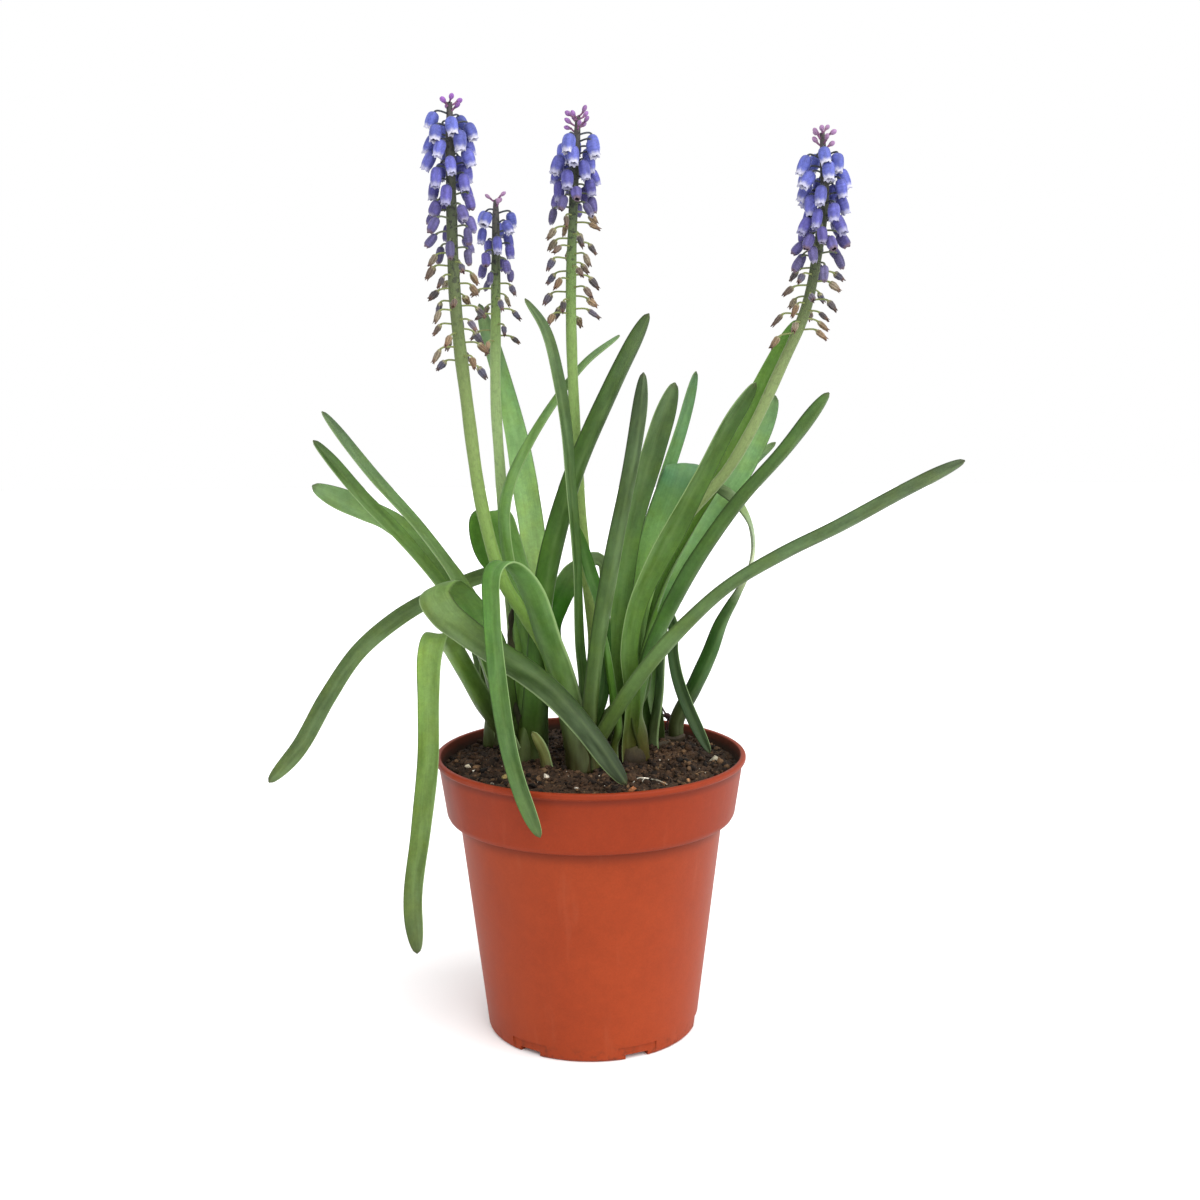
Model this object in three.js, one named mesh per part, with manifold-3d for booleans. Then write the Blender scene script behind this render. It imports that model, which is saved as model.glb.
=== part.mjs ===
// Grape hyacinth (Muscari) in a round plastic nursery pot.
// Millimetres, +Z up, +X to the right, +Y to the back.
// The origin is the centre of the pot's underside.
import * as THREE from 'three';
import { mergeVertices } from 'three/addons/utils/BufferGeometryUtils.js';
import Module from 'manifold-3d';

const wasm = await Module();
wasm.setup();

// ---------------------------------------------------------------- sizes
const CLEARANCE = 0.3; // gap between a piece and what it rests on

// nursery pot
const POT_HEIGHT = 82;
const POT_BASE_RADIUS = 31;
const POT_STEP_RADIUS = 38.5;
const POT_STEP_HEIGHT = 63;
const STEP_INSIDE_LOW = POT_STEP_HEIGHT + 1.2; // the step as it shows on the inside of the wall
const STEP_INSIDE_HIGH = POT_STEP_HEIGHT + 4.4;
const POT_BAND_LOW_RADIUS = 42.1;
const POT_BAND_HIGH_RADIUS = 44.3;
const POT_RIM_RADIUS = 45.2;
const POT_WALL = 1.1;
const POT_FLOOR = 1.6;
const POT_SIDES = 40;

// drainage notches around the pot's foot
const NOTCH_COUNT = 6;
const NOTCH_FIRST_ANGLE = -66;
const NOTCH_WIDTH = 12;
const NOTCH_HEIGHT = 4;
const NOTCH_DEPTH = 0.6;
const DRAIN_WIDTH = 7;
const DRAIN_HEIGHT = 1.4;
const DRAIN_REACH = 5; // how far a drain slot runs in from the foot's corner
const DRAIN_LIP = 2; // the slot is cut right through the floor up to this far from the corner
const CUT_OVERSHOOT = 5;

// potting soil
const SOIL_EDGE_HEIGHT = 79.3;
const SOIL_MIDDLE_HEIGHT = 80.1;
const SOIL_FLAT_RADIUS = 30;
const SOIL_FLAT_HEIGHT = SOIL_MIDDLE_HEIGHT - 0.2;
const SOIL_SIDES = 24;

// bulbs: every neck ends level with the soil
const NECK_TOP = 80.3;
const NECK_RADIUS = 4.8;
const SLIM_NECK = 0.93; // neck of a small bulb, as a share of its belly
const WAIST = 0.9; // narrowest place under the neck, as a share of the neck
const BULB_SIDES = 8;
const BASE_HEIGHT = NECK_TOP + CLEARANCE;

// leaves
const LEAF_THICKNESS = 1.2;
const LEAF_CUP = 0.2; // depth of the channel, as a share of the leaf's width
const SHEATH_HEIGHT = 4; // a leaf rises straight up for this far before it leans
const LEAF_FOOT = 0.6; // width of the leaf's foot, as a share of its full width
const LEAF_FOOT_END = 0.25; // where along the leaf the full width is reached
const LEAF_TIP_LENGTH = 16;
const LEAF_TIP_SHARE = 0.4; // on a short leaf the tip is this share of its length instead
const LEAF_TIP_WIDTH = 0.16;
const LEAF_TIP_THICKNESS = 0.45;
const LONGEST_STEP = 15;
const LARGEST_TURN = THREE.MathUtils.degToRad(20);
const FINE_STEPS = 160;

// flower spikes
const SCAPE_RADIUS = 1.6;
const RACHIS_RADIUS = 1.2;
const STEM_SIDES = 6;
const STEM_STEP = 14;
const STRETCH_PIECES = 24;
const PEDICEL_RADIUS = 0.35;
const FLORET_SIDES = 4;
const SHOULDER_PLACE = 0.35; // the bell is widest this share of its length from its top
const CROWN_WIDTH = 0.4; // the bell's top and its mouth, as shares of its widest radius
const MOUTH_WIDTH = 0.7;
const RACHIS_SINK = 0.01; // the rachis starts this share of the route inside the scape
const FLORET_SINK = 0.002; // the last floret sits this share of the route below the tip
const GOLDEN_ANGLE = THREE.MathUtils.degToRad(137.5);
const FLORET_STRAY = 0.5; // radians that a floret may stray from its place around the stalk
const CROWDING = 1.25; // florets stand closer together towards the top

// ---------------------------------------------------------------- materials
const finish = (color, roughness) => new THREE.MeshStandardMaterial({ color, roughness, metalness: 0 });
const potPlastic = () => finish(0xb5532f, 0.55);
const pottingSoil = () => finish(0x3a2a22, 0.95);
const bulbSkin = () => finish(0x6e5a34, 0.75);
const leafGreen = () => finish(0x4f7a3a, 0.5);
const flowerSpike = () => finish(0x5a62b8, 0.6);
const shootGreen = () => finish(0x8a8a3c, 0.55);
const driedStalk = () => finish(0x3c2e22, 0.85);

// ---------------------------------------------------------------- helpers
const plant = new THREE.Group();

function addNode(name, geometry, material) {
  const mesh = new THREE.Mesh(geometry, material);
  mesh.name = name;
  plant.add(mesh);
}

// A closed solid made from a geometry: shared corners merged, collapsed triangles dropped.
function solidOf(geometry) {
  const bare = geometry.clone();
  bare.deleteAttribute('normal');
  bare.deleteAttribute('uv');
  const merged = mergeVertices(bare, 1e-4);
  const corners = merged.index.array;
  const kept = [];
  for (let i = 0; i < corners.length; i += 3) {
    const [a, b, c] = [corners[i], corners[i + 1], corners[i + 2]];
    if (a !== b && b !== c && c !== a) kept.push(a, b, c);
  }
  const mesh = new wasm.Mesh({
    numProp: 3,
    vertProperties: new Float32Array(merged.attributes.position.array),
    triVerts: new Uint32Array(kept),
  });
  return new wasm.Manifold(mesh);
}

function geometryOf(solid) {
  const { vertProperties, triVerts } = solid.getMesh();
  const geometry = new THREE.BufferGeometry();
  geometry.setAttribute('position', new THREE.BufferAttribute(vertProperties, 3));
  geometry.setIndex(new THREE.BufferAttribute(triVerts, 1));
  geometry.computeVertexNormals();
  return geometry;
}

// A profile of [radius, height] pairs, from the axis round to the axis, turned about Z.
function turned(profile, sides) {
  const points = profile.map(([radius, height]) => new THREE.Vector2(radius, height));
  return new THREE.LatheGeometry(points, sides).rotateX(Math.PI / 2);
}

// A closed skin over rings of equally many points, with both ends capped. The strips between two
// rings are cut into triangles along alternating diagonals, so the two faces of a thin twisted
// blade bulge the same way and never cross.
function loft(rings) {
  const count = rings[0].length;
  const last = rings.length - 1;
  const positions = rings.flat().flatMap((point) => point.toArray());
  const faces = [];
  for (let ring = 0; ring < last; ring += 1) {
    for (let k = 0; k < count; k += 1) {
      const next = (k + 1) % count;
      const low = ring * count;
      const high = low + count;
      if (k % 2 === 0) {
        faces.push(low + k, low + next, high + next, low + k, high + next, high + k);
      } else {
        faces.push(low + k, low + next, high + k, low + next, high + next, high + k);
      }
    }
  }
  for (let k = 1; k < count - 1; k += 1) {
    faces.push(0, k + 1, k);
    faces.push(last * count, last * count + k, last * count + k + 1);
  }
  const geometry = new THREE.BufferGeometry();
  geometry.setAttribute('position', new THREE.Float32BufferAttribute(positions, 3));
  geometry.setIndex(faces);
  geometry.computeVertexNormals();
  return geometry;
}

// A ring of corners square to a direction; across lies in the ring's plane.
function ringAround(centre, direction, across, radius, sides) {
  const upright = direction.clone().cross(across);
  return Array.from({ length: sides }, (_, k) => {
    const angle = (2 * Math.PI * k) / sides;
    const corner = centre.clone().addScaledVector(across, radius * Math.cos(angle));
    return corner.addScaledVector(upright, radius * Math.sin(angle));
  });
}

const vectors = (points) => points.map((point) => new THREE.Vector3(...point));

const curveThrough = (points) => new THREE.CatmullRomCurve3(points);

// The stretch of a curve between two of its parameters, as a curve of its own.
function stretchOf(curve, from, to) {
  const at = (k) => curve.getPoint(THREE.MathUtils.lerp(from, to, k / STRETCH_PIECES));
  return curveThrough(Array.from({ length: STRETCH_PIECES + 1 }, (_, k) => at(k)));
}

// A solid round stem along a curve.
function stem(curve, radius) {
  const outline = new THREE.Shape().absarc(0, 0, radius, 0, 2 * Math.PI);
  return new THREE.ExtrudeGeometry(outline, {
    steps: Math.ceil(curve.getLength() / STEM_STEP),
    curveSegments: STEM_SIDES / 2,
    bevelEnabled: false,
    extrudePath: curve,
  });
}

// Places along a curve, close together where it bends and far apart where it runs straight.
function stationsAlong(curve) {
  const kept = [0];
  let lastPoint = curve.getPoint(0);
  let lastTangent = curve.getTangent(0);
  for (let i = 1; i < FINE_STEPS; i += 1) {
    const u = i / FINE_STEPS;
    const point = curve.getPoint(u);
    const tangent = curve.getTangent(u);
    if (point.distanceTo(lastPoint) > LONGEST_STEP || tangent.angleTo(lastTangent) > LARGEST_TURN) {
      kept.push(u);
      lastPoint = point;
      lastTangent = tangent;
    }
  }
  kept.push(1);
  return kept;
}

function arcLengths(curve) {
  const lengths = [0];
  for (let i = 1; i <= FINE_STEPS; i += 1) {
    const step = curve.getPoint(i / FINE_STEPS).distanceTo(curve.getPoint((i - 1) / FINE_STEPS));
    lengths.push(lengths[i - 1] + step);
  }
  return lengths;
}

function valueAt(list, share) {
  const place = THREE.MathUtils.clamp(share, 0, 1) * (list.length - 1);
  const low = Math.min(Math.floor(place), list.length - 2);
  return THREE.MathUtils.lerp(list[low], list[low + 1], place - low);
}

// ---------------------------------------------------------------- pot
// Both faces of the wall as [radius, height], from the foot up.
const POT_OUTSIDE = [
  [POT_BASE_RADIUS - 0.6, 0],
  [POT_BASE_RADIUS, 0.8],
  [POT_STEP_RADIUS, POT_STEP_HEIGHT],
  [POT_BAND_LOW_RADIUS - 1.4, POT_STEP_HEIGHT + 1],
  [POT_BAND_LOW_RADIUS - 0.3, POT_STEP_HEIGHT + 2.4],
  [POT_BAND_LOW_RADIUS, POT_STEP_HEIGHT + 4.2],
  [POT_BAND_HIGH_RADIUS, POT_HEIGHT - 3.2],
  [POT_RIM_RADIUS, POT_HEIGHT - 2.6],
  [POT_RIM_RADIUS, POT_HEIGHT - 0.6],
  [POT_RIM_RADIUS - 0.5, POT_HEIGHT],
];
const POT_INSIDE = [
  [POT_BASE_RADIUS - POT_WALL, POT_FLOOR],
  [POT_STEP_RADIUS - POT_WALL, STEP_INSIDE_LOW],
  [POT_BAND_LOW_RADIUS - 1.5, POT_STEP_HEIGHT + 2.6],
  [POT_BAND_LOW_RADIUS - POT_WALL, STEP_INSIDE_HIGH],
  [POT_BAND_HIGH_RADIUS - POT_WALL, POT_HEIGHT - 3],
  [POT_BAND_HIGH_RADIUS - 0.7, POT_HEIGHT],
];

function potInnerRadius(height) {
  for (let i = 1; i < POT_INSIDE.length; i += 1) {
    const [lowRadius, lowHeight] = POT_INSIDE[i - 1];
    const [highRadius, highHeight] = POT_INSIDE[i];
    if (height <= highHeight) {
      return THREE.MathUtils.mapLinear(height, lowHeight, highHeight, lowRadius, highRadius);
    }
  }
  return POT_INSIDE.at(-1)[0];
}

// A block that stands across the foot of the wall, facing outwards at the given angle.
function footBlock(width, height, innerRadius, outerRadius, angle) {
  const block = new THREE.BoxGeometry(outerRadius - innerRadius, width, 2 * height);
  block.translate((innerRadius + outerRadius) / 2, 0, 0);
  return solidOf(block.rotateZ(angle));
}

function makePot() {
  const profile = [[0, 0], ...POT_OUTSIDE, ...[...POT_INSIDE].reverse(), [0, POT_FLOOR]];
  let pot = solidOf(turned(profile, POT_SIDES));
  for (let i = 0; i < NOTCH_COUNT; i += 1) {
    const angle = THREE.MathUtils.degToRad(NOTCH_FIRST_ANGLE + (i * 360) / NOTCH_COUNT);
    const outer = POT_BASE_RADIUS + CUT_OVERSHOOT;
    const inner = POT_BASE_RADIUS - DRAIN_REACH;
    const notch = footBlock(NOTCH_WIDTH, NOTCH_HEIGHT, POT_BASE_RADIUS - NOTCH_DEPTH, outer, angle);
    const channel = footBlock(DRAIN_WIDTH, DRAIN_HEIGHT, inner, outer, angle);
    const slot = footBlock(DRAIN_WIDTH, 2 * POT_FLOOR, inner, POT_BASE_RADIUS - DRAIN_LIP, angle);
    pot = pot.subtract(notch).subtract(channel).subtract(slot);
  }
  return geometryOf(pot);
}

// ---------------------------------------------------------------- bulbs and soil
// x and y of the neck, belly radius and belly height
const BULBS = {
  bulb_left: { x: -27, y: 20, belly: 5.3, height: 71 },
  bulb_centre_left: { x: -18.5, y: 0.5, belly: 8, height: 62 },
  bulb_front: { x: -3, y: -9.5, belly: 7.5, height: 60 },
  bulb_right: { x: 12, y: 0, belly: 7.5, height: 61 },
  bulb_back_right: { x: 20, y: 15.5, belly: 5, height: 68 },
  bulb_far_right: { x: 25, y: 24.5, belly: 4.6, height: 70 },
  bulb_back: { x: -3, y: 11, belly: 5.6, height: 65 },
  bulb_back_middle: { x: 8.5, y: 14.5, belly: 5.8, height: 66 },
};

// The bulb's outline grown by a margin all round; a tall neck cuts its hole through the soil.
function bulbSolid({ x, y, belly, height }, margin, neckTop) {
  const slim = Math.min(NECK_RADIUS, SLIM_NECK * belly);
  const neck = slim + margin;
  const waist = WAIST * slim + margin;
  const profile = [
    [0, height - 0.95 * belly - margin],
    [0.35 * belly + margin, height - 0.95 * belly - margin],
    [0.82 * belly + margin, height - 0.6 * belly],
    [belly + margin, height],
    [0.9 * belly + margin, height + 0.5 * belly],
    [waist, height + 1.05 * belly],
    [neck, NECK_TOP - 1],
    [neck, neckTop],
    [0, neckTop],
  ];
  return solidOf(turned(profile, BULB_SIDES).translate(x, y, 0));
}

function makeSoil() {
  const gap = CLEARANCE;
  const bottom = POT_FLOOR + gap;
  const heights = [bottom, STEP_INSIDE_LOW, STEP_INSIDE_HIGH, SOIL_EDGE_HEIGHT];
  const side = heights.map((height) => [potInnerRadius(height) - gap, height]);
  const top = [[SOIL_FLAT_RADIUS, SOIL_FLAT_HEIGHT], [0, SOIL_MIDDLE_HEIGHT]];
  let soil = solidOf(turned([[0, bottom], ...side, ...top], SOIL_SIDES));
  for (const bulb of Object.values(BULBS)) {
    soil = soil.subtract(bulbSolid(bulb, gap, POT_HEIGHT + CUT_OVERSHOOT));
  }
  return geometryOf(soil);
}

// ---------------------------------------------------------------- leaves
// Each leaf: the bulb it grows from, the side of the neck it leaves (degrees from +X) and how far
// out, its width, the direction of its width axis along its length (degrees from +X), how far that
// axis is lifted out of the level (degrees, only where it is), its route.
const LEAVES = {
  leaf_01: {
    bulb: 'bulb_back', side: 140, out: 3.5, width: 5, turn: [230, 190, 180, 180],
    lift: [0, -60, -110, -130],
    route: [[-9.5, 18, 97], [-13.5, 24, 114], [-18.5, 28, 126.5], [-25, 31, 131], [-33.5, 34, 129],
      [-47, 37, 123], [-60, 38, 115.5], [-72.5, 37, 105], [-82, 34, 91.5], [-91, 30, 76], [-100, 27, 66]],
  },
  leaf_02: {
    bulb: 'bulb_left', side: 70, out: 3.5, width: 5, turn: [160, 230, 225],
    route: [[-29.5, 24, 96], [-31.5, 22, 112], [-38, 20, 127.5], [-49.3, 17, 145], [-63.5, 14, 162.5],
      [-76.5, 9, 181]],
  },
  leaf_03: {
    bulb: 'bulb_left', side: 195, out: 3.5, width: 4.8, turn: [285, 230, 215],
    route: [[-29, 17, 95.5], [-34, 13, 113], [-41.7, 7, 128.5], [-53.7, 0, 145.8], [-63.2, -7, 157.5],
      [-71.5, -12, 169], [-75.5, -13, 174]],
  },
  leaf_04: {
    bulb: 'bulb_left', side: 135, out: 3.5, width: 5.8, turn: [225, 205, 185],
    route: [[-32, 26, 94.5], [-35, 27, 110.5], [-40, 27, 124], [-50.5, 26, 138.5], [-58.5, 26, 146],
      [-66, 26, 150], [-74, 25, 154], [-82.5, 23, 158.5]],
  },
  leaf_05: {
    bulb: 'bulb_centre_left', side: 200, out: 3.5, width: 7, turn: [290, 195, 165, 175, 190, 190],
    lift: [0, -10, -22, -8, 0, 0],
    route: [[-24.5, -1, 96], [-28, -4, 114], [-32.5, -9, 125], [-36.5, -13, 131], [-40, -17, 133.8],
      [-42.5, -21.5, 132], [-39.5, -25, 127.5], [-33, -27.5, 122.5], [-25.5, -29.5, 117.5],
      [-17, -32, 112.5], [-9, -35, 106.5], [-1.5, -38, 98.5], [4.5, -40, 90.5], [9.5, -41, 83.5]],
  },
  leaf_06: {
    bulb: 'bulb_front', side: 250, out: 3.5, width: 6.4, turn: [340, 325, 335, 355, 360],
    route: [[-7, -13, 100.5], [-9.4, -14.5, 110], [-12, -16, 118], [-14, -18, 125.5],
      [-16.2, -21, 132.5], [-19.5, -25, 139], [-23, -29.5, 142], [-25.5, -32.5, 140],
      [-25.8, -34.5, 129.5], [-25, -37, 117], [-23.5, -40, 104.5], [-21.5, -42.5, 93.5],
      [-19, -44.5, 84.5], [-16, -46, 76.5], [-13.5, -47, 71]],
  },
  leaf_07: {
    bulb: 'bulb_left', side: 275, out: 3.5, width: 6.2, turn: [365, 350, 360, 360, 355],
    route: [[-31.5, 13, 93], [-35.5, 8, 102], [-39, 1, 111], [-41, -6, 116.5], [-42.5, -12, 119.5],
      [-43.5, -16, 118.5], [-44.5, -18, 113.5], [-45, -19, 102], [-45.5, -19.5, 85], [-48, -19, 64.5],
      [-51, -17, 43.5], [-50.5, -15, 26.5]],
  },
  leaf_08: {
    bulb: 'bulb_centre_left', side: 147, out: 3.5, width: 7.4, turn: [20, 15, 8, 2, 0],
    route: [[-18.6, 3.6, 98], [-18, 3.8, 114.5], [-19.5, 4, 127.5], [-21.8, 4.5, 136.5],
      [-24, 5, 144.5], [-26, 6, 150], [-28.5, 7.5, 151.3], [-30.8, 9.5, 149], [-30.5, 10.5, 142],
      [-28.5, 10.5, 134]],
  },
  leaf_09: {
    bulb: 'bulb_centre_left', side: 42, out: 3.5, width: 6.8, turn: [150, 185, 190, 180],
    route: [[-15, 10, 99], [-16, 13, 125], [-16.5, 14, 143], [-18.5, 15, 157.5], [-21.5, 17, 175],
      [-25.5, 19, 191], [-31.5, 21, 211.5]],
  },
  leaf_10: {
    bulb: 'bulb_centre_left', side: 255, out: 3.5, width: 4, turn: [345, 340, 325, 300],
    route: [[-16.5, -2, 100], [-17.2, -2, 112], [-19.3, -2.5, 122], [-22.3, -2.5, 135],
      [-24, -2.5, 146], [-24, -2, 154], [-22, 0.5, 162], [-16.5, 5, 173], [-8.5, 9, 185],
      [-0.5, 13, 194.5], [9.5, 19, 202]],
  },
  leaf_11: {
    bulb: 'bulb_front', side: 120, out: 3.5, width: 3.4, turn: [210, 215, 200],
    route: [[-2, -7.5, 100], [-3, -9.5, 117], [-3.5, -12, 140], [-5, -13, 162.5], [-6, -13, 176.5],
      [-8, -12, 190], [-11.5, -10, 203.5], [-17, -8, 212]],
  },
  leaf_12: {
    bulb: 'bulb_centre_left', side: -40, out: 3.5, width: 5.6, turn: [25, 15, 30],
    route: [[-15, -6, 102], [-12.5, -6, 132], [-5, -4, 160.5], [7, 0, 187.5], [17.5, 5, 208]],
  },
  leaf_13: {
    bulb: 'bulb_front', side: -40, out: 3.5, width: 4.8, turn: [50, 15, 10],
    route: [[0.5, -17, 101.5], [3, -18, 121.5], [7.5, -19.5, 146.5], [11.5, -21, 166], [14, -22, 182],
      [15, -22, 192]],
  },
  leaf_14: {
    bulb: 'bulb_right', side: 163, out: 3.3, width: 5.6, turn: [200, 190, 195],
    route: [[7.8, -1.5, 101], [8, -4.5, 116], [8.8, -6.8, 126], [11.9, -9, 148], [16, -10, 163.5],
      [20.5, -11, 178.5], [24, -11, 189]],
  },
  leaf_15: {
    bulb: 'bulb_back_middle', side: 100, out: 4.8, width: 4.2, turn: [235, 200, 200],
    route: [[14, 21, 108], [17, 21, 135.5], [22, 22, 157], [28, 22, 176], [32, 21, 191.5]],
  },
  leaf_16: {
    bulb: 'bulb_back_middle', side: 80, out: 1.2, width: 8.6, turn: [345, 362, 365, 362],
    route: [[14, 14, 100], [13.5, 13.5, 112], [16, 12.5, 129], [20.5, 11, 145.5], [25, 10.5, 158],
      [27, 12, 162.8], [28, 15.5, 164], [28.5, 19, 161], [29, 21, 154], [29.5, 22, 145]],
  },
  leaf_17: {
    bulb: 'bulb_far_right', side: 0, out: 1.6, width: 4, turn: [10, 5, 5, 10, 25, 80, 95, 90, 60],
    lift: [0, 0, 0, 0, 0, 30, 75],
    route: [[31.5, 24.5, 94.5], [36.5, 23.5, 106], [40, 22, 116], [44.5, 20, 125], [47.5, 18, 132.5],
      [48.5, 15, 139.5], [47.5, 12, 146], [45, 9, 151.5], [42, 6.5, 155.5], [38.5, 4.5, 158],
      [35, 3, 159.5]],
  },
  leaf_18: {
    bulb: 'bulb_right', side: 250, out: 3.2, width: 5.8, turn: [200, 195, 200],
    route: [[12, -7.5, 99], [11, -9.5, 114], [13.3, -11, 127], [18.2, -12.5, 138.5],
      [23.8, -13.5, 149], [31.5, -15.5, 164], [38.5, -17, 178], [45.5, -18, 189]],
  },
  leaf_19: {
    bulb: 'bulb_back_middle', side: -60, out: 3.5, width: 5.4, turn: [30, 100, 150, 160],
    route: [[14.5, 10, 95], [16.5, 9, 112.5], [21, 8, 129], [28.5, 8, 145], [39.5, 8, 165],
      [49, 8, 185.5], [60, 6.5, 206]],
  },
  leaf_20: {
    bulb: 'bulb_back_right', side: 180, out: 3.2, width: 6, turn: [150, 185, 190],
    route: [[15, 17.5, 93.5], [14.5, 17.8, 104], [18, 17.5, 119], [26, 16.5, 133], [35, 15.5, 148.5],
      [44.7, 14.5, 163], [54.5, 13, 184.5]],
  },
  leaf_21: {
    bulb: 'bulb_back_right', side: 90, out: 3.2, width: 4.2, turn: [180, 160, 150],
    route: [[19, 22, 97], [19.5, 24, 110], [28, 26, 132], [40.5, 27, 151], [48, 27.5, 162.5],
      [56.5, 28, 170]],
  },
  leaf_22: {
    bulb: 'bulb_right', side: -5, out: 3.2, width: 5.2, turn: [85, 35, 25],
    route: [[13.5, -2.5, 94], [15.2, -2.8, 104], [18, -3.8, 113.5], [22.5, -5, 123.5], [30, -7.5, 138],
      [42, -11, 156], [54.5, -13, 170.5], [66, -14, 186]],
  },
  leaf_23: {
    bulb: 'bulb_front', side: 22, out: 3.5, width: 5.2, turn: [112, 40, 10, 0],
    route: [[8.5, -13, 99.5], [17, -15, 111], [27.5, -17, 123], [38.5, -20, 133.5], [53.5, -23, 143],
      [67.5, -26, 150.5], [83, -29, 159.5], [99.5, -32, 168.5]],
  },
  leaf_24: {
    bulb: 'bulb_back_right', side: 250, out: 3.2, width: 3.8, turn: [285, 300, 345, 355],
    route: [[20.5, 13, 96.5], [21, 13.5, 107.5], [21.5, 12.5, 116], [23, 10, 120.5], [24.5, 7.5, 118],
      [24.5, 6, 110], [25.7, 5, 103], [28, 4, 96], [31, 2.5, 89], [35, 0.5, 81]],
  },
  leaf_25: {
    bulb: 'bulb_right', side: 201, out: 5.5, width: 2.8, turn: [300, 350, 350],
    route: [[8, -5, 90], [6.5, -8, 101], [5, -10, 112], [4, -11, 120]],
  },
  leaf_26: {
    bulb: 'bulb_front', side: 77, out: 3.5, width: 4.2, turn: [167, 190, 200],
    route: [[3.4, -6.4, 100], [4.2, -7.4, 116], [3, -7.6, 128], [0.5, -7, 135], [-3.5, -7, 149.5]],
  },
  leaf_27: {
    bulb: 'bulb_back', side: 200, out: 3.5, width: 4.8, turn: [240, 200, 180, 180, 180],
    lift: [0, 0, 0, 5, 35, 45, 95, 165],
    route: [[-6, 12.5, 94], [-10, 14.5, 108], [-11.5, 15.5, 117.5], [-5.5, 16.5, 131], [-1, 17.5, 135],
      [2, 18, 136.5], [4.2, 18.2, 135], [4.6, 18.2, 130], [4.6, 18, 124]],
  },
};

const YOUNG_SHOOT = {
  foot: [-12.5, -12.5, BASE_HEIGHT], width: 3.6, turn: [330, 330],
  route: [[-13.5, -12, 85], [-16.5, -11.5, 91]],
};

function leafFoot({ bulb, side, out }) {
  const angle = THREE.MathUtils.degToRad(side);
  return [BULBS[bulb].x + out * Math.cos(angle), BULBS[bulb].y + out * Math.sin(angle), BASE_HEIGHT];
}

// Full width along the leaf, a narrower foot and a rounded tip.
function leafWidth(width, travelled, length) {
  const foot = THREE.MathUtils.clamp(travelled / (LEAF_FOOT_END * length), 0, 1);
  const tipLength = Math.min(LEAF_TIP_LENGTH, LEAF_TIP_SHARE * length);
  const tip = THREE.MathUtils.clamp((length - travelled) / tipLength, 0, 1);
  const rounded = Math.sqrt(1 - (1 - tip) ** 2);
  return width * THREE.MathUtils.lerp(LEAF_FOOT, 1, foot) * Math.max(rounded, LEAF_TIP_WIDTH);
}

// A channelled blade: its section is an arrowhead whose notch is the channel.
function blade({ foot, route, width, turn, lift = [0, 0] }) {
  const sheath = [foot[0], foot[1], foot[2] + SHEATH_HEIGHT];
  const curve = curveThrough(vectors([foot, sheath, ...route]));
  const lengths = arcLengths(curve);
  const length = lengths.at(-1);
  const rings = stationsAlong(curve).map((u) => {
    const travelled = valueAt(lengths, u);
    const wide = leafWidth(width, travelled, length);
    const fullness = Math.min(1, wide / width);
    const thin = LEAF_THICKNESS * THREE.MathUtils.lerp(LEAF_TIP_THICKNESS, 1, fullness);
    const cup = LEAF_CUP * wide;
    const angle = THREE.MathUtils.degToRad(valueAt(turn, travelled / length));
    const raised = THREE.MathUtils.degToRad(valueAt(lift, travelled / length));
    const tangent = curve.getTangent(u);
    const level = new THREE.Vector3(Math.cos(angle), Math.sin(angle), 0);
    const across = level.multiplyScalar(Math.cos(raised)).setZ(Math.sin(raised));
    across.addScaledVector(tangent, -across.dot(tangent)).normalize();
    const inward = tangent.clone().cross(across);
    const centre = curve.getPoint(u);
    const corner = (side, depth) => {
      return centre.clone().addScaledVector(across, side).addScaledVector(inward, depth);
    };
    return [
      corner(0, -(thin + cup) / 2),
      corner(wide / 2, cup / 2),
      corner(0, (thin - cup) / 2),
      corner(-wide / 2, cup / 2),
    ];
  });
  return loft(rings);
}

// ---------------------------------------------------------------- flower spikes
// Each spike: its bulb, its route from the neck up, the share of the route where the florets
// start, how many florets, and the shares of the flowering part where the withered ones end, the
// fading ones end and the open ones end. Above them are buds.
const SPIKES = {
  spike_1: {
    bulb: 'bulb_front', bottom: 194, count: 56, withered: 0.36, fading: 0.62, open: 0.93, start: 0.4,
    route: [[-8.5, -9.2, 99.5], [-12.5, -10.2, 114.5], [-18.3, -10.8, 124.5], [-24, -10.8, 134],
      [-29.5, -9, 153.5], [-33.5, -8.5, 184.5], [-36, -9, 211.5], [-36.5, -9, 238.5], [-36.5, -8, 264]],
  },
  spike_2: {
    bulb: 'bulb_left', bottom: 199, count: 29, withered: 0.58, fading: 0.7, open: 0.9, start: 2.1,
    route: [[-23, 14.5, 112.5], [-24.5, 13, 137.5], [-25.5, 11, 161], [-26.5, 10, 184], [-26, 10, 212],
      [-25.5, 10, 240]],
  },
  spike_3: {
    bulb: 'bulb_back', bottom: 207, count: 50, withered: 0.47, fading: 0.6, open: 0.88, start: 1.1,
    route: [[1, 10, 110.5], [-1, 9.5, 135], [-2.5, 8.5, 155], [-4, 7, 184], [-4.5, 6, 212],
      [-3.5, 5, 239], [-2, 4, 261.8]],
  },
  spike_4: {
    bulb: 'bulb_right', bottom: 202, count: 50, withered: 0.26, fading: 0.5, open: 0.91, start: 3.4,
    route: [[12.6, 1.4, 97.5], [12.2, 1.2, 112], [14, -1.2, 126.5], [20.4, -4.5, 140.5],
      [28.7, -5, 152.5], [38.5, -5, 163.5], [46, -5, 176], [53.5, -5, 192], [60.5, -5, 208.5],
      [63.5, -6, 224.5], [65, -7, 238], [64, -8, 255.5]],
  },
};

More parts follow.
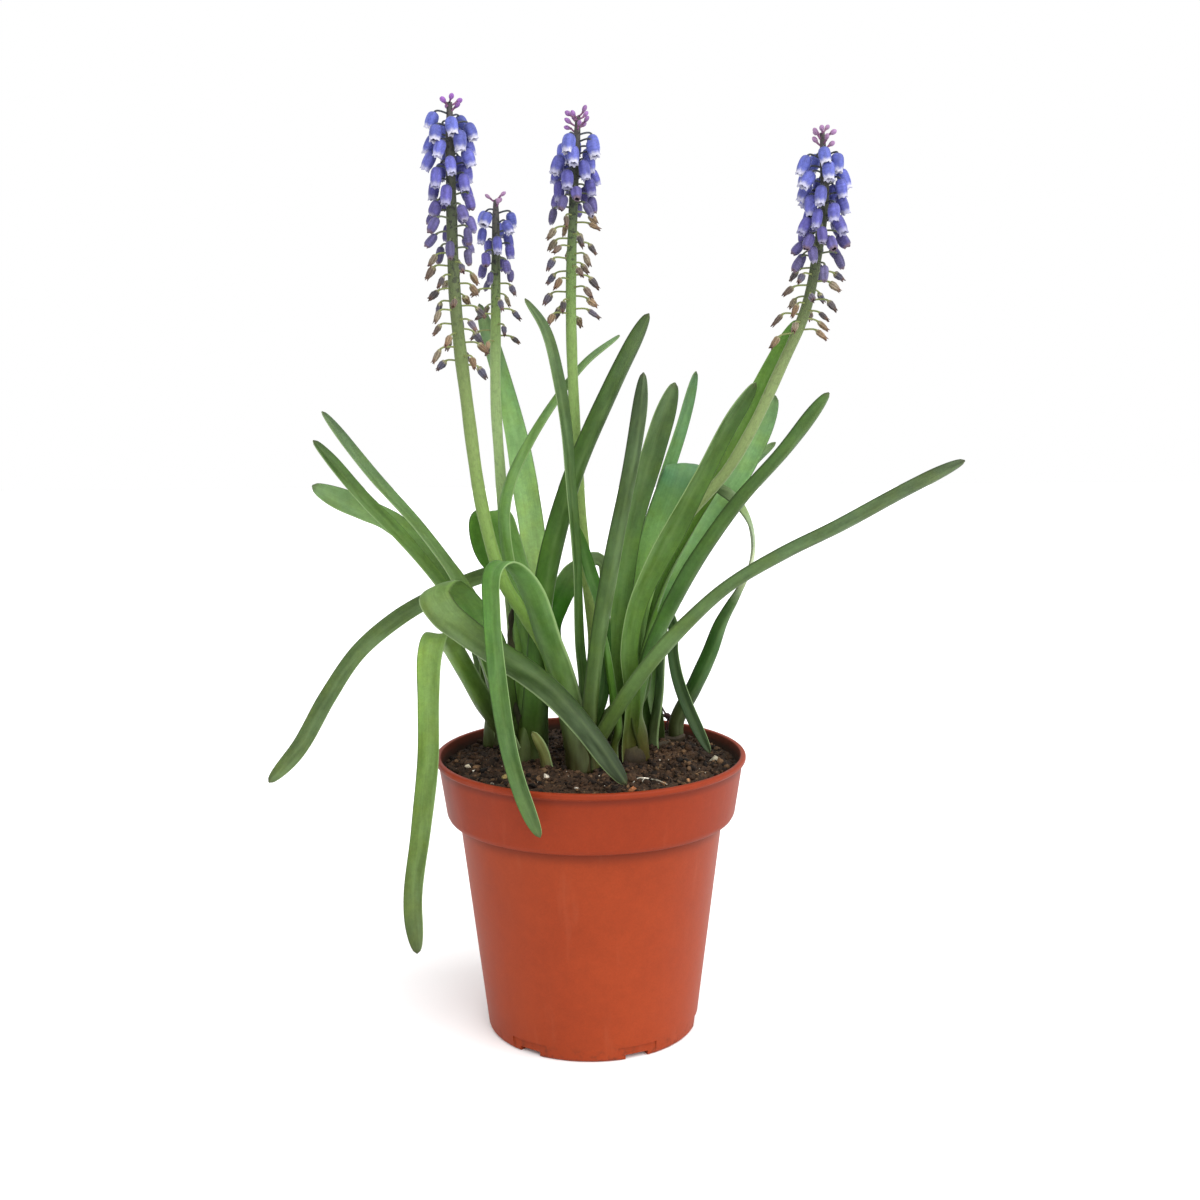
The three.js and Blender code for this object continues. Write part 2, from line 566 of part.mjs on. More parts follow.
// Reach from the stalk, drop of the pedicel, length, radius and droop (degrees) at four ages.
const FLORET_AGES = {
  withered: { reach: 5.6, drop: 0.6, length: 4.1, radius: 1, droop: 48 },
  fading: { reach: 4.8, drop: 0.4, length: 4.5, radius: 1.5, droop: 66 },
  open: { reach: 4, drop: -0.3, length: 4.9, radius: 1.95, droop: 72 },
  bud: { reach: 2.6, drop: -1.6, length: 1.9, radius: 0.75, droop: -35 },
};

// A repeatable value from 0 to 1 for each whole number.
const scatter = (number) => {
  const wave = Math.sin(number * 12.9898) * 43758.5453;
  return wave - Math.floor(wave);
};

function ageAt({ withered, fading, open }, share) {
  if (share < withered) return 'withered';
  if (share < fading) return 'fading';
  if (share < open) return 'open';
  return 'bud';
}

// A pedicel that widens into a hanging bell, all in the upright plane at the given angle.
function floretSolid(centre, angle, { reach, drop, length, radius, droop }) {
  const outward = new THREE.Vector3(Math.cos(angle), Math.sin(angle), 0);
  const across = new THREE.Vector3(-Math.sin(angle), Math.cos(angle), 0);
  const lean = THREE.MathUtils.degToRad(droop);
  const hang = outward.clone().multiplyScalar(Math.cos(lean)).setZ(-Math.sin(lean));
  const top = centre.clone().addScaledVector(outward, reach).setZ(centre.z - drop);
  const pedicel = top.clone().sub(centre).normalize();
  const elbow = pedicel.clone().add(hang).normalize();
  const shoulder = top.clone().addScaledVector(hang, SHOULDER_PLACE * length);
  const mouth = top.clone().addScaledVector(hang, length);
  return solidOf(loft([
    ringAround(centre, pedicel, across, PEDICEL_RADIUS, FLORET_SIDES),
    ringAround(top, elbow, across, CROWN_WIDTH * radius, FLORET_SIDES),
    ringAround(shoulder, hang, across, radius, FLORET_SIDES),
    ringAround(mouth, hang, across, MOUTH_WIDTH * radius, FLORET_SIDES),
  ]));
}

// The curve's parameter where it first reaches a height.
function paramAtHeight(curve, height) {
  for (let i = 0; i <= FINE_STEPS; i += 1) {
    if (curve.getPoint(i / FINE_STEPS).z >= height) return i / FINE_STEPS;
  }
  return 1;
}

function makeSpike(spike) {
  const { x, y } = BULBS[spike.bulb];
  const foot = [[x, y, BASE_HEIGHT], [x, y, BASE_HEIGHT + SHEATH_HEIGHT]];
  const curve = curveThrough(vectors([...foot, ...spike.route]));
  const bottom = paramAtHeight(curve, spike.bottom);
  const scape = solidOf(stem(stretchOf(curve, 0, bottom), SCAPE_RADIUS));
  const rachis = solidOf(stem(stretchOf(curve, bottom - RACHIS_SINK, 1), RACHIS_RADIUS));
  let solid = scape.add(rachis);
  for (let i = 0; i < spike.count; i += 1) {
    const share = 1 - (1 - i / (spike.count - 1)) ** CROWDING;
    const centre = curve.getPoint(THREE.MathUtils.lerp(bottom, 1, share) - FLORET_SINK);
    const angle = spike.start + i * GOLDEN_ANGLE + FLORET_STRAY * (scatter(i) - 0.5);
    solid = solid.add(floretSolid(centre, angle, FLORET_AGES[ageAt(spike, share)]));
  }
  return geometryOf(solid);
}

// ---------------------------------------------------------------- dried stalk
const DRIED_STALK = {
  bulb: 'bulb_centre_left', radius: 0.8,
  route: [[-22.3, 1.4, 97], [-23, 1.2, 110], [-22.4, 0.5, 125]],
};

function makeDriedStalk({ bulb, route, radius }) {
  const { x, y } = BULBS[bulb];
  const foot = [[x, y, BASE_HEIGHT], [x, y, BASE_HEIGHT + SHEATH_HEIGHT]];
  return stem(curveThrough(vectors([...foot, ...route])), radius);
}

// ---------------------------------------------------------------- assembly
addNode('pot', makePot(), potPlastic());
addNode('soil', makeSoil(), pottingSoil());
for (const [name, bulb] of Object.entries(BULBS)) {
  addNode(name, geometryOf(bulbSolid(bulb, 0, NECK_TOP)), bulbSkin());
}
for (const [name, leaf] of Object.entries(LEAVES)) {
  addNode(name, blade({ ...leaf, foot: leafFoot(leaf) }), leafGreen());
}
addNode('young_shoot', blade(YOUNG_SHOOT), shootGreen());
for (const [name, spike] of Object.entries(SPIKES)) {
  addNode(name, makeSpike(spike), flowerSpike());
}
addNode('dried_stalk', makeDriedStalk(DRIED_STALK), driedStalk());

export default plant;
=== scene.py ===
"""Grape hyacinth (Muscari) in a round plastic nursery pot: the looks, built around the CAD frame.

Lengths are millimetres until make_piece turns them into metres. +Z is up, +Y is the back, and the
origin is the centre of the pot's underside. Colours are sRGB, 0 to 255, until linear() is called.
"""

import math

import bpy
import numpy as np
from mathutils import Matrix, Vector, noise


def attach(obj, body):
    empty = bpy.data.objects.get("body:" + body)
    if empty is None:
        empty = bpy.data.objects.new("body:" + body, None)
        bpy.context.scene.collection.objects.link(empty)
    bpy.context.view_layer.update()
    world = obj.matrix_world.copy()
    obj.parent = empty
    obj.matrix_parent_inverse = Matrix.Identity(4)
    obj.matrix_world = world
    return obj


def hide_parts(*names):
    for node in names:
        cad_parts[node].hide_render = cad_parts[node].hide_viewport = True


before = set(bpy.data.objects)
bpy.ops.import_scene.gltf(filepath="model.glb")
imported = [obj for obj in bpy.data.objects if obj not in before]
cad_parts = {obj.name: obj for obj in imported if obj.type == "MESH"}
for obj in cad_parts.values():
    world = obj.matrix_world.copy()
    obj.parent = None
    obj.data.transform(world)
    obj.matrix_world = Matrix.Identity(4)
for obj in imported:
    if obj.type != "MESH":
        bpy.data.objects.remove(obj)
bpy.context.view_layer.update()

MM = 0.001
UP = np.array([0.0, 0.0, 1.0])
rng = np.random.default_rng(20)

# ---------------------------------------------------------------- sizes
# pot
POT_HEIGHT = 82
POT_BASE_RADIUS = 31
POT_STEP_RADIUS = 38.5
POT_STEP_HEIGHT = 63
POT_BAND_LOW_RADIUS = 42.1
POT_BAND_HIGH_RADIUS = 44.3
POT_RIM_RADIUS = 45.2
POT_WALL = 1.1
POT_FLOOR = 1.6
POT_SIDES = 256
POT_CREASE = 38  # degrees; edges sharper than this stay sharp
NOTCH_COUNT = 6
NOTCH_FIRST_ANGLE = -66
NOTCH_WIDTH = 12
NOTCH_HEIGHT = 4
NOTCH_DEPTH = 0.6
DRAIN_WIDTH = 7
DRAIN_HEIGHT = 1.4
DRAIN_REACH = 5
CUT_OVERSHOOT = 5

# soil
SOIL_RADIUS = 43.0
SOIL_EDGE_HEIGHT = 78.4
SOIL_MIDDLE_HEIGHT = 80.2
SOIL_RINGS = 120
SOIL_SIDES = 260
CRUMB_COUNT = 3000
CRUMB_REACH = 42.2
GRIT_COUNT = 90
GRIT_REACH = 41
FIBRE_COUNT = 46
FIBRE_REACH = 39
FIBRE_LIMIT = 41.5
FIBRE_POINTS = 4

# leaves
LEAF_START_HEIGHT = 79.0
SHEATH_TOP_HEIGHT = 84.6
LEAF_THICKNESS = 1.2
LEAF_CUP = 0.24  # depth of the channel, as a share of the leaf's width
BASE_CUP = 0.2  # what the channel gains towards the foot
LEAF_TIP_LENGTH = 12
LEAF_TIP_POWER = 0.9
FOLD_REACH = 9  # a bend of about this radius flattens half of the channel
FOLD_BLUR = 5
INNER_FACE_GAIN = 0.06
LEAF_STEP = 0.9
LEAF_HALF_POINTS = 12
OLIVE_LENGTH = 24  # how far up a leaf the tone of its sheath reaches

# flower spikes
FLORET_SIDES = 30
STEM_SIDES = 18
PEDICEL_SIDES = 8
PEDICEL_POINTS = 14
GOLDEN_ANGLE = math.radians(137.5)
CROWDING = 1.25  # florets stand closer together towards the top


# ---------------------------------------------------------------- numbers and curves
def linear(colour):
    """An sRGB colour (0 to 255) as linear light."""
    c = np.asarray(colour, float) / 255
    return np.where(c <= 0.04045, c / 12.92, ((c + 0.055) / 1.055) ** 2.4)


def unit(vectors):
    return vectors / np.linalg.norm(vectors, axis=-1, keepdims=True)


def smooth(value, low, high):
    """0 below low, 1 above high, and a soft step between them."""
    share = np.clip((np.asarray(value, float) - low) / (high - low), 0, 1)
    return share * share * (3 - 2 * share)


def blend(start, end, share):
    """start where the share is 0, and end where it is 1."""
    return start + share * (end - start)


def rows(values):
    """One value for each row of a skin, ready to spread over its columns and colours."""
    return values[:, None, None]


def along_list(values, shares):
    """Values of an evenly spread list at shares from 0 to 1, column by column."""
    values = np.asarray(values, float)
    places = np.linspace(0, 1, len(values))
    if values.ndim == 1:
        return np.interp(shares, places, values)
    return np.stack([np.interp(shares, places, column) for column in values.T], -1)


def full_turn(count):
    """Angles spread evenly once around."""
    return np.linspace(0, 2 * math.pi, count, endpoint=False)


def polar(reach, angle):
    return reach * math.cos(angle), reach * math.sin(angle)


def spokes(angles, side, third):
    """Directions at the angles, in the plane of two square directions."""
    return np.cos(angles)[:, None] * side + np.sin(angles)[:, None] * third


def lathed(radii, heights, angles, x=0, y=0):
    """Points of a turned skin around an upright axis: a row for each height."""
    sides = x + radii * np.cos(angles), y + radii * np.sin(angles)
    return np.stack(np.broadcast_arrays(*sides, heights), -1)


def travelled_along(path):
    """Distance from the start of a path to each of its points."""
    return np.concatenate([[0], np.cumsum(np.linalg.norm(np.diff(path, axis=0), axis=1))])


def curve_through(points, count):
    """A centripetal Catmull-Rom curve of count points, with as many on each of its spans."""
    points = np.asarray(points, float)
    before = 2 * points[0] - points[1]
    after = 2 * points[-1] - points[-2]
    knots = np.vstack([before, points, after])
    spans = len(points) - 1
    place = np.linspace(0, 1, count) * spans
    span = np.minimum(place.astype(int), spans - 1)
    w = (place - span)[:, None]
    corners = [knots[span + k] for k in range(4)]
    d0, d1, d2 = (np.sqrt(np.linalg.norm(b - a, axis=1))[:, None] for a, b in zip(corners, corners[1:]))
    p0, p1, p2, p3 = corners
    leave = ((p1 - p0) / d0 - (p2 - p0) / (d0 + d1) + (p2 - p1) / d1) * d1
    arrive = ((p2 - p1) / d1 - (p3 - p1) / (d1 + d2) + (p3 - p2) / d2) * d1
    square = -3 * p1 + 3 * p2 - 2 * leave - arrive
    cube = 2 * p1 - 2 * p2 + leave + arrive
    return p1 + leave * w + square * w**2 + cube * w**3


def evenly(path, step):
    """The path resampled about every step mm, with the distance travelled at each new point."""
    travelled = travelled_along(path)
    count = max(4, math.ceil(travelled[-1] / step) + 1)
    marks = np.linspace(0, travelled[-1], count)
    return np.stack([np.interp(marks, travelled, column) for column in path.T], -1), marks


def bezier(p0, p1, p2, p3, count):
    w = np.linspace(0, 1, count)[:, None]
    return (1 - w) ** 3 * p0 + 3 * (1 - w) ** 2 * w * p1 + 3 * (1 - w) * w**2 * p2 + w**3 * p3


def carried_frames(path):
    """Two square directions at each point of a path, which turn as little as they can along it."""
    tangents = unit(np.gradient(path, axis=0))
    side = np.cross(tangents[0], UP if abs(tangents[0][2]) < 0.9 else [1.0, 0, 0])
    sides = []
    for tangent in tangents:
        side = unit(side - side.dot(tangent) * tangent)
        sides.append(side)
    sides = np.array(sides)
    return sides, np.cross(tangents, sides)


# ---------------------------------------------------------------- building meshes
def ring_faces(rings, count):
    """Quads between neighbouring rings of count points each, and a cap on either end."""
    low = np.arange(rings - 1)[:, None] * count
    here = np.arange(count)[None, :]
    after = (here + 1) % count
    quads = np.stack([low + here, low + after, low + count + after, low + count + here], -1)
    faces = quads.reshape(-1, 4).tolist()
    faces.append(list(range(count))[::-1])
    faces.append(list(range((rings - 1) * count, rings * count)))
    return faces


class Shape:
    """Gathers the points of one piece. Each point has a tone and a place for its material."""

    def __init__(self):
        self.points, self.tones, self.places = [], [], []
        self.faces, self.slots = [], []
        self.count = 0

    def add(self, points, faces, tones, places=(0, 0, 0), slot=0):
        points = np.asarray(points, float).reshape(-1, 3)
        self.points.append(points)
        self.tones.append(np.broadcast_to(tones, points.shape))
        self.places.append(np.broadcast_to(places, points.shape))
        self.faces.extend([[corner + self.count for corner in face] for face in faces])
        self.slots.extend([slot] * len(faces))
        self.count += len(points)

    def add_skin(self, points, tones, places, slot=0):
        """A closed skin, from its points as rows and columns; places are x, y and z for each."""
        places = np.stack(np.broadcast_arrays(*places), -1)
        faces = ring_faces(*points.shape[:2])
        self.add(points, faces, tones.reshape(-1, 3), places.reshape(-1, 3), slot)

    def tube(self, path, radii, sides, tones, speckle=0.0, slot=0):
        """A round stem along a path; radii, tones and speckle may change along it."""
        side, upright = carried_frames(path)
        angles = full_turn(sides)
        radii = rows(np.broadcast_to(radii, len(path)))
        points = path[:, None] + radii * spokes(angles, side[:, None], upright[:, None])
        speckle = np.broadcast_to(speckle, len(path))[:, None]
        places = np.sin(angles)[None, :], travelled_along(path)[:, None], speckle
        tones = np.broadcast_to(tones, path.shape)[:, None].repeat(sides, 1)
        self.add_skin(points, tones, places, slot)


def add_object(name, data):
    made = bpy.data.objects.new(name, data)
    bpy.context.scene.collection.objects.link(made)
    return made


def make_piece(name, shape, materials, node):
    """The shape as a mesh object that stands for a CAD node and takes its finish from a slot."""
    mesh = bpy.data.meshes.new(name)
    mesh.from_pydata((np.vstack(shape.points) * MM).tolist(), [], shape.faces)
    tone = mesh.attributes.new("tone", "FLOAT_COLOR", "POINT")
    colours = np.hstack([np.vstack(shape.tones), np.ones((shape.count, 1))])
    tone.data.foreach_set("color", colours.astype(np.float32).ravel())
    place = mesh.attributes.new("place", "FLOAT_VECTOR", "POINT")
    place.data.foreach_set("vector", np.vstack(shape.places).astype(np.float32).ravel())
    for material in materials:
        mesh.materials.append(material)
    mesh.polygons.foreach_set("material_index", shape.slots)
    mesh.shade_smooth()
    piece = add_object(name, mesh)
    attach(piece, "root")
    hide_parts(node)
    return piece


# ---------------------------------------------------------------- material nodes
# The studio light is brighter than 1, so a surface's own colour is this share of the tone it is
# seen in
SEEN_SHARE = 0.66


class Recipe:
    """A node material. Values given to its methods are sockets or plain numbers."""

    def __init__(self, name):
        self.material = bpy.data.materials.new(name)
        self.material.use_nodes = True
        self.tree = self.material.node_tree
        self.shader = self.tree.nodes["Principled BSDF"]

    def feed(self, socket, value):
        if isinstance(value, bpy.types.NodeSocket):
            self.tree.links.new(value, socket)
        else:
            socket.default_value = value

    def node(self, kind, **inputs):
        made = self.tree.nodes.new("ShaderNode" + kind)
        for key, value in inputs.items():
            self.feed(made.inputs[key], value)
        return made

    def attribute(self, name, output):
        made = self.node("Attribute")
        made.attribute_name = name
        return made.outputs[output]

    def tone(self):
        return self.attribute("tone", "Color")

    def place(self):
        return self.node("SeparateXYZ", Vector=self.attribute("place", "Vector")).outputs

    def position(self):
        return self.node("NewGeometry").outputs["Position"]

    def math(self, operation, a, b=0.0):
        made = self.tree.nodes.new("ShaderNodeMath")
        made.operation = operation
        self.feed(made.inputs[0], a)
        self.feed(made.inputs[1], b)
        return made.outputs[0]

    def times(self, a, b):
        return self.math("MULTIPLY", a, b)

    def plus(self, a, b):
        return self.math("ADD", a, b)

    def vector(self, x, y, z):
        return self.node("CombineXYZ", X=x, Y=y, Z=z).outputs[0]

    def noise(self, vector, scale, detail=2.0, rough=0.5):
        made = self.node("TexNoise", Vector=vector, Scale=scale, Detail=detail, Roughness=rough)
        return made.outputs["Fac"]

    def streaks(self, across, along, third, scale, detail, rough):
        """Noise with its own density across and along a piece: both are a place and a density."""
        return self.noise(self.vector(self.times(*across), self.times(*along), third), scale, detail, rough)

    def spread(self, value, low, high, to_low=0.0, to_high=1.0, soft=False):
        """Maps low..high onto to_low..to_high."""
        made = self.tree.nodes.new("ShaderNodeMapRange")
        made.interpolation_type = "SMOOTHSTEP" if soft else "LINEAR"
        for index, given in enumerate((value, low, high, to_low, to_high)):
            self.feed(made.inputs[index], given)
        return made.outputs[0]

    def mix(self, factor, a, b, blend_type="MIX"):
        made = self.tree.nodes.new("ShaderNodeMix")
        made.data_type = "RGBA"
        made.blend_type = blend_type
        for index, given in ((0, factor), (6, a), (7, b)):
            if isinstance(given, (tuple, list, np.ndarray)):
                given = (*given[:3], 1.0)
            self.feed(made.inputs[index], given)
        return made.outputs[2]

    def shade(self, colour, amount):
        """The colour times a grey amount."""
        return self.mix(1.0, colour, self.vector(amount, amount, amount), "MULTIPLY")

    def mottled(self, colour, pattern, darkest, lightest, calm=0.3):
        """The colour shaded by a noise, which counts from calm up to 1 - calm."""
        return self.shade(colour, self.spread(pattern, calm, 1 - calm, darkest, lightest))

    def bump(self, height, strength, distance_mm):
        made = self.node("Bump", Height=height, Strength=strength, Distance=distance_mm * MM)
        self.tree.links.new(made.outputs[0], self.shader.inputs["Normal"])

    def finish(self, colour, roughness, **constants):
        self.feed(self.shader.inputs["Base Color"], colour)
        self.feed(self.shader.inputs["Roughness"], roughness)
        for key, value in constants.items():
            self.shader.inputs[key.replace("_", " ")].default_value = value
        return self.material


def leaf_material():
    """Veined flesh, yellower in clouds, with a waxy bloom that grows towards one edge as a painted sheen, a
    faint midrib, a painted highlight along that edge and painted shade along the other.
    """
    m = Recipe("leaf_flesh")
    across, along, face = m.place()
    position = m.position()
    veins = m.streaks((across, 7.0), (along, 0.035), face, 1.6, 3.0, 0.6)
    bands = m.streaks((across, 0.9), (along, 0.06), face, 1.3, 2.0, 0.5)
    clouds = m.noise(position, 150.0, 3.0, 0.55)
    mottle = m.noise(position, 700.0, 3.0, 0.6)
    grain = m.noise(position, 2600.0, 2.0, 0.6)
    colour = m.mottled(m.tone(), veins, 0.92, 1.07)
    colour = m.mottled(colour, bands, 0.82, 1.2)
    colour = m.mottled(colour, mottle, 0.9, 1.1)
    colour = m.mottled(colour, grain, 0.92, 1.08, calm=0.25)
    yellower = m.mix(1.0, colour, (1.22, 1.08, 0.62), "MULTIPLY")
    colour = m.mix(m.spread(clouds, 0.42, 0.72, 0.0, 0.55), colour, yellower)
    # The waxy bloom grows towards one edge: partly the leaf's own bloom, partly a painted sheen on that
    # side.
    bloom_and_painted_sheen = m.times(m.spread(across, -0.9, 0.9, 0.0, 0.24), m.spread(bands, 0.35, 0.65))
    colour = m.mix(bloom_and_painted_sheen, colour, linear((148, 172, 128)))
    midrib = m.spread(m.math("ABSOLUTE", across), 0.0, 0.3, 0.05, 0.0, soft=True)
    colour = m.mix(midrib, colour, linear((170, 196, 120)))
    # A painted highlight along one edge and painted shade along the other.
    painted_highlight_rim = m.spread(across, 0.88, 0.97, 0.0, 0.5, soft=True)
    colour = m.mix(painted_highlight_rim, colour, linear((172, 200, 136)))
    painted_shade_rim = m.spread(across, -0.97, -0.87, 0.5, 0.0, soft=True)
    colour = m.mix(painted_shade_rim, colour, linear((44, 58, 28)))
    colour = m.shade(colour, SEEN_SHARE)
    m.bump(m.plus(m.times(veins, 0.8), m.times(mottle, 0.3)), 0.35, 0.25)
    return m.finish(
        colour, m.spread(clouds, 0.3, 0.7, 0.42, 0.56), Specular_IOR_Level=0.16,
        Subsurface_Weight=0.06, Subsurface_Radius=(0.4, 1.0, 0.25), Subsurface_Scale=0.001,
    )


def petal_material():
    """Matte floret skin, streaked from its stalk to its mouth."""
    m = Recipe("petal")
    around, along, kind = m.place()
    position = m.position()
    streaks = m.streaks((around, 2.4), (along, 1.1), kind, 3.2, 3.0, 0.6)
    clouds = m.noise(position, 420.0, 3.0, 0.6)
    grain = m.noise(position, 3600.0, 2.0, 0.6)
    colour = m.mottled(m.tone(), streaks, 0.74, 1.3)
    colour = m.mottled(colour, clouds, 0.88, 1.14)
    colour = m.mottled(colour, grain, 0.94, 1.06, calm=0.25)
    colour = m.shade(colour, SEEN_SHARE)
    m.bump(m.plus(m.times(streaks, 0.7), m.times(grain, 0.15)), 0.3, 0.2)
    return m.finish(
        colour, m.spread(clouds, 0.3, 0.7, 0.42, 0.6), Specular_IOR_Level=0.2,
        Subsurface_Weight=0.12, Subsurface_Radius=(0.6, 0.6, 1.0), Subsurface_Scale=0.0008,
        Sheen_Weight=0.1, Sheen_Roughness=0.4,
    )


def stem_material():
    """Fibrous green stalk, with dark spots where its speckle is high."""
    m = Recipe("stem")
    around, along, speckle = m.place()
    position = m.position()
    fibres = m.streaks((around, 2.0), (along, 0.22), 0.0, 2.4, 3.0, 0.6)
    spots = m.noise(position, 900.0, 2.0, 0.65)
    grain = m.noise(position, 3000.0, 2.0, 0.6)
    colour = m.mottled(m.tone(), fibres, 0.86, 1.12)
    colour = m.mottled(colour, grain, 0.94, 1.06, calm=0.25)
    spotted = m.times(m.spread(spots, 0.52, 0.66, 0.0, 1.0, soft=True), speckle)
    colour = m.mix(spotted, colour, linear((46, 44, 50)))
    colour = m.shade(colour, SEEN_SHARE)
    m.bump(m.plus(fibres, m.times(grain, 0.3)), 0.3, 0.15)
    return m.finish(
        colour, 0.5, Specular_IOR_Level=0.18,
        Subsurface_Weight=0.08, Subsurface_Radius=(0.4, 1.0, 0.3), Subsurface_Scale=0.001,
    )


def pot_material():
    """Terracotta-coloured plastic with flow marks, painted shade in its grooves, soil stains and painted
    shade on the inner wall, and dirt near the foot.
    """
    m = Recipe("pot_plastic")
    position = m.position()
    x, y, z = m.node("SeparateXYZ", Vector=position).outputs

    def over_heights(low, high, to_low=0.0, to_high=1.0, soft=False):
        """Changes from to_low to to_high between two heights in millimetres."""
        return m.spread(z, low * MM, high * MM, to_low, to_high, soft)

    clouds = m.noise(position, 30.0, 3.0, 0.6)
    mottle = m.noise(position, 330.0, 3.0, 0.6)
    grain = m.noise(position, 2000.0, 2.0, 0.6)
    colour = m.mix(m.spread(clouds, 0.3, 0.7), linear((160, 61, 26)), linear((170, 68, 31)))
    colour = m.mottled(colour, mottle, 0.96, 1.04)
    colour = m.mottled(colour, grain, 0.93, 1.07, calm=0.25)
    band = over_heights(POT_STEP_HEIGHT + 0.2, POT_STEP_HEIGHT + 1)
    colour = m.mix(band, colour, m.mix(1.0, colour, (0.84, 0.72, 0.7), "MULTIPLY"))
    flow = m.noise(m.vector(x, y, m.times(z, 0.1)), 240.0, 3.0, 0.6)
    colour = m.mix(m.spread(flow, 0.56, 0.8, 0.0, 0.1, soft=True), colour, linear((206, 120, 90)))
    # Painted shade: darker on the body under the band's overhang and on the band under the lip.
    under_band_shade = m.times(
        over_heights(POT_STEP_HEIGHT - 4, POT_STEP_HEIGHT + 0.4, soft=True),
        over_heights(POT_STEP_HEIGHT + 0.6, POT_STEP_HEIGHT + 1.4, 1.0, 0.0),
    )
    under_lip_shade = m.times(
        over_heights(POT_HEIGHT - 4.5, POT_HEIGHT - 2.3, soft=True),
        over_heights(POT_HEIGHT - 2.2, POT_HEIGHT - 1.8, 1.0, 0.0),
    )
    painted_groove_shade = m.times(m.math("MAXIMUM", under_band_shade, under_lip_shade), 0.55)
    colour = m.mix(painted_groove_shade, colour, linear((96, 34, 22)))
    radius = m.math("SQRT", m.plus(m.times(x, x), m.times(y, y)))
    mid_wall = m.plus(m.times(z, 0.1), (POT_BAND_LOW_RADIUS - POT_WALL / 2 - 6) * MM)
    past_mid_wall = m.math("SUBTRACT", radius, mid_wall)
    inside = m.times(
        m.spread(past_mid_wall, -0.1 * MM, 0.1 * MM, 1.0, 0.0),
        over_heights(POT_STEP_HEIGHT + 3.5, POT_STEP_HEIGHT + 4),
    )
    inside = m.times(inside, over_heights(POT_HEIGHT - 3, POT_HEIGHT - 0.1, 1.0, 0.5))
    dirt_noise = m.noise(position, 420.0, 4.0, 0.7)
    # On the inner wall: soil stains and painted shade, strongest near the soil and half as strong at the
    # rim.
    inner_stain_and_shade = m.times(inside, m.spread(dirt_noise, 0.35, 0.6, 0.9, 1.0))
    near_foot = m.times(over_heights(0, 6, 0.5, 0.0, soft=True), m.spread(dirt_noise, 0.5, 0.66))
    dirt_and_inner_shade = m.math("MAXIMUM", inner_stain_and_shade, near_foot)
    colour = m.mix(dirt_and_inner_shade, colour, linear((64, 48, 38)))
    colour = m.shade(colour, SEEN_SHARE)
    m.bump(m.plus(m.times(mottle, 0.5), m.times(grain, 0.5)), 0.22, 0.12)
    return m.finish(
        colour, m.plus(m.spread(clouds, 0.3, 0.7, 0.46, 0.54), m.times(dirt_and_inner_shade, 0.3)),
        Specular_IOR_Level=0.13, Subsurface_Weight=0.03, Subsurface_Scale=0.001,
        Sheen_Weight=0.0, Sheen_Roughness=0.5,
    )


def soil_material():
    """Rough dark peat with patches and a few pale grains."""
    m = Recipe("potting_soil")
    position = m.position()
    lumps = m.noise(position, 420.0, 5.0, 0.7)
    grain = m.noise(position, 2200.0, 4.0, 0.7)
    patches = m.noise(position, 110.0, 3.0, 0.6)
    colour = m.mottled(m.tone(), lumps, 0.3, 1.6)
    colour = m.mottled(colour, patches, 0.45, 1.15, calm=0.35)
    colour = m.mottled(colour, grain, 0.5, 1.7)
    pale = m.spread(m.noise(position, 1300.0, 2.0, 0.5), 0.66, 0.74, 0.0, 0.5, soft=True)
    colour = m.mix(pale, colour, linear((140, 110, 78)))
    m.bump(m.plus(lumps, m.times(grain, 0.6)), 0.9, 0.6)
    return m.finish(colour, m.spread(grain, 0.3, 0.7, 0.75, 0.98), Specular_IOR_Level=0.25)


def husk_material(name, rough):
    """Papery or woody skin with lengthwise fibres: sheaths, bulbs and the dried stalk."""
    m = Recipe(name)
    around, along, _ = m.place()
    fibres = m.streaks((around, 9.0), (along, 0.12), 0.0, 2.0, 4.0, 0.65)
    blotch = m.noise(m.position(), 500.0, 3.0, 0.6)
    colour = m.mottled(m.tone(), fibres, 0.7, 1.25)
    colour = m.mottled(colour, blotch, 0.75, 1.2)
    m.bump(m.plus(fibres, m.times(blotch, 0.5)), 0.6, 0.3)
    return m.finish(colour, rough, Specular_IOR_Level=0.3)


def floor_material():
    m = Recipe("studio_floor")
    faint = m.noise(m.position(), 9.0, 2.0, 0.5)
    colour = m.mix(faint, (0.93, 0.93, 0.93), (0.95, 0.95, 0.95))
    return m.finish(colour, 0.9, Specular_IOR_Level=0.1)


LEAF = leaf_material()
PETAL = petal_material()
STEM = stem_material()
POT = pot_material()
SOIL = soil_material()
HUSK = husk_material("papery_sheath", 0.7)
DRY = husk_material("dried_stalk_skin", 0.85)


# ---------------------------------------------------------------- pot
def rounded(corners, radius, count=5):
    """An outline with each inner corner replaced by an arc-like bend of about that radius."""
    corners = np.asarray(corners, float)
    points = [corners[0]]
    for before, here, after in zip(corners, corners[1:], corners[2:]):
        back, on = before - here, after - here
        reach = min(radius, 0.45 * np.linalg.norm(back), 0.45 * np.linalg.norm(on))
        start = here + unit(back) * reach
        end = here + unit(on) * reach
        for w in np.linspace(0, 1, count):
            points.append((1 - w) ** 2 * start + 2 * (1 - w) * w * here + w**2 * end)
    points.append(corners[-1])
    return np.array(points)


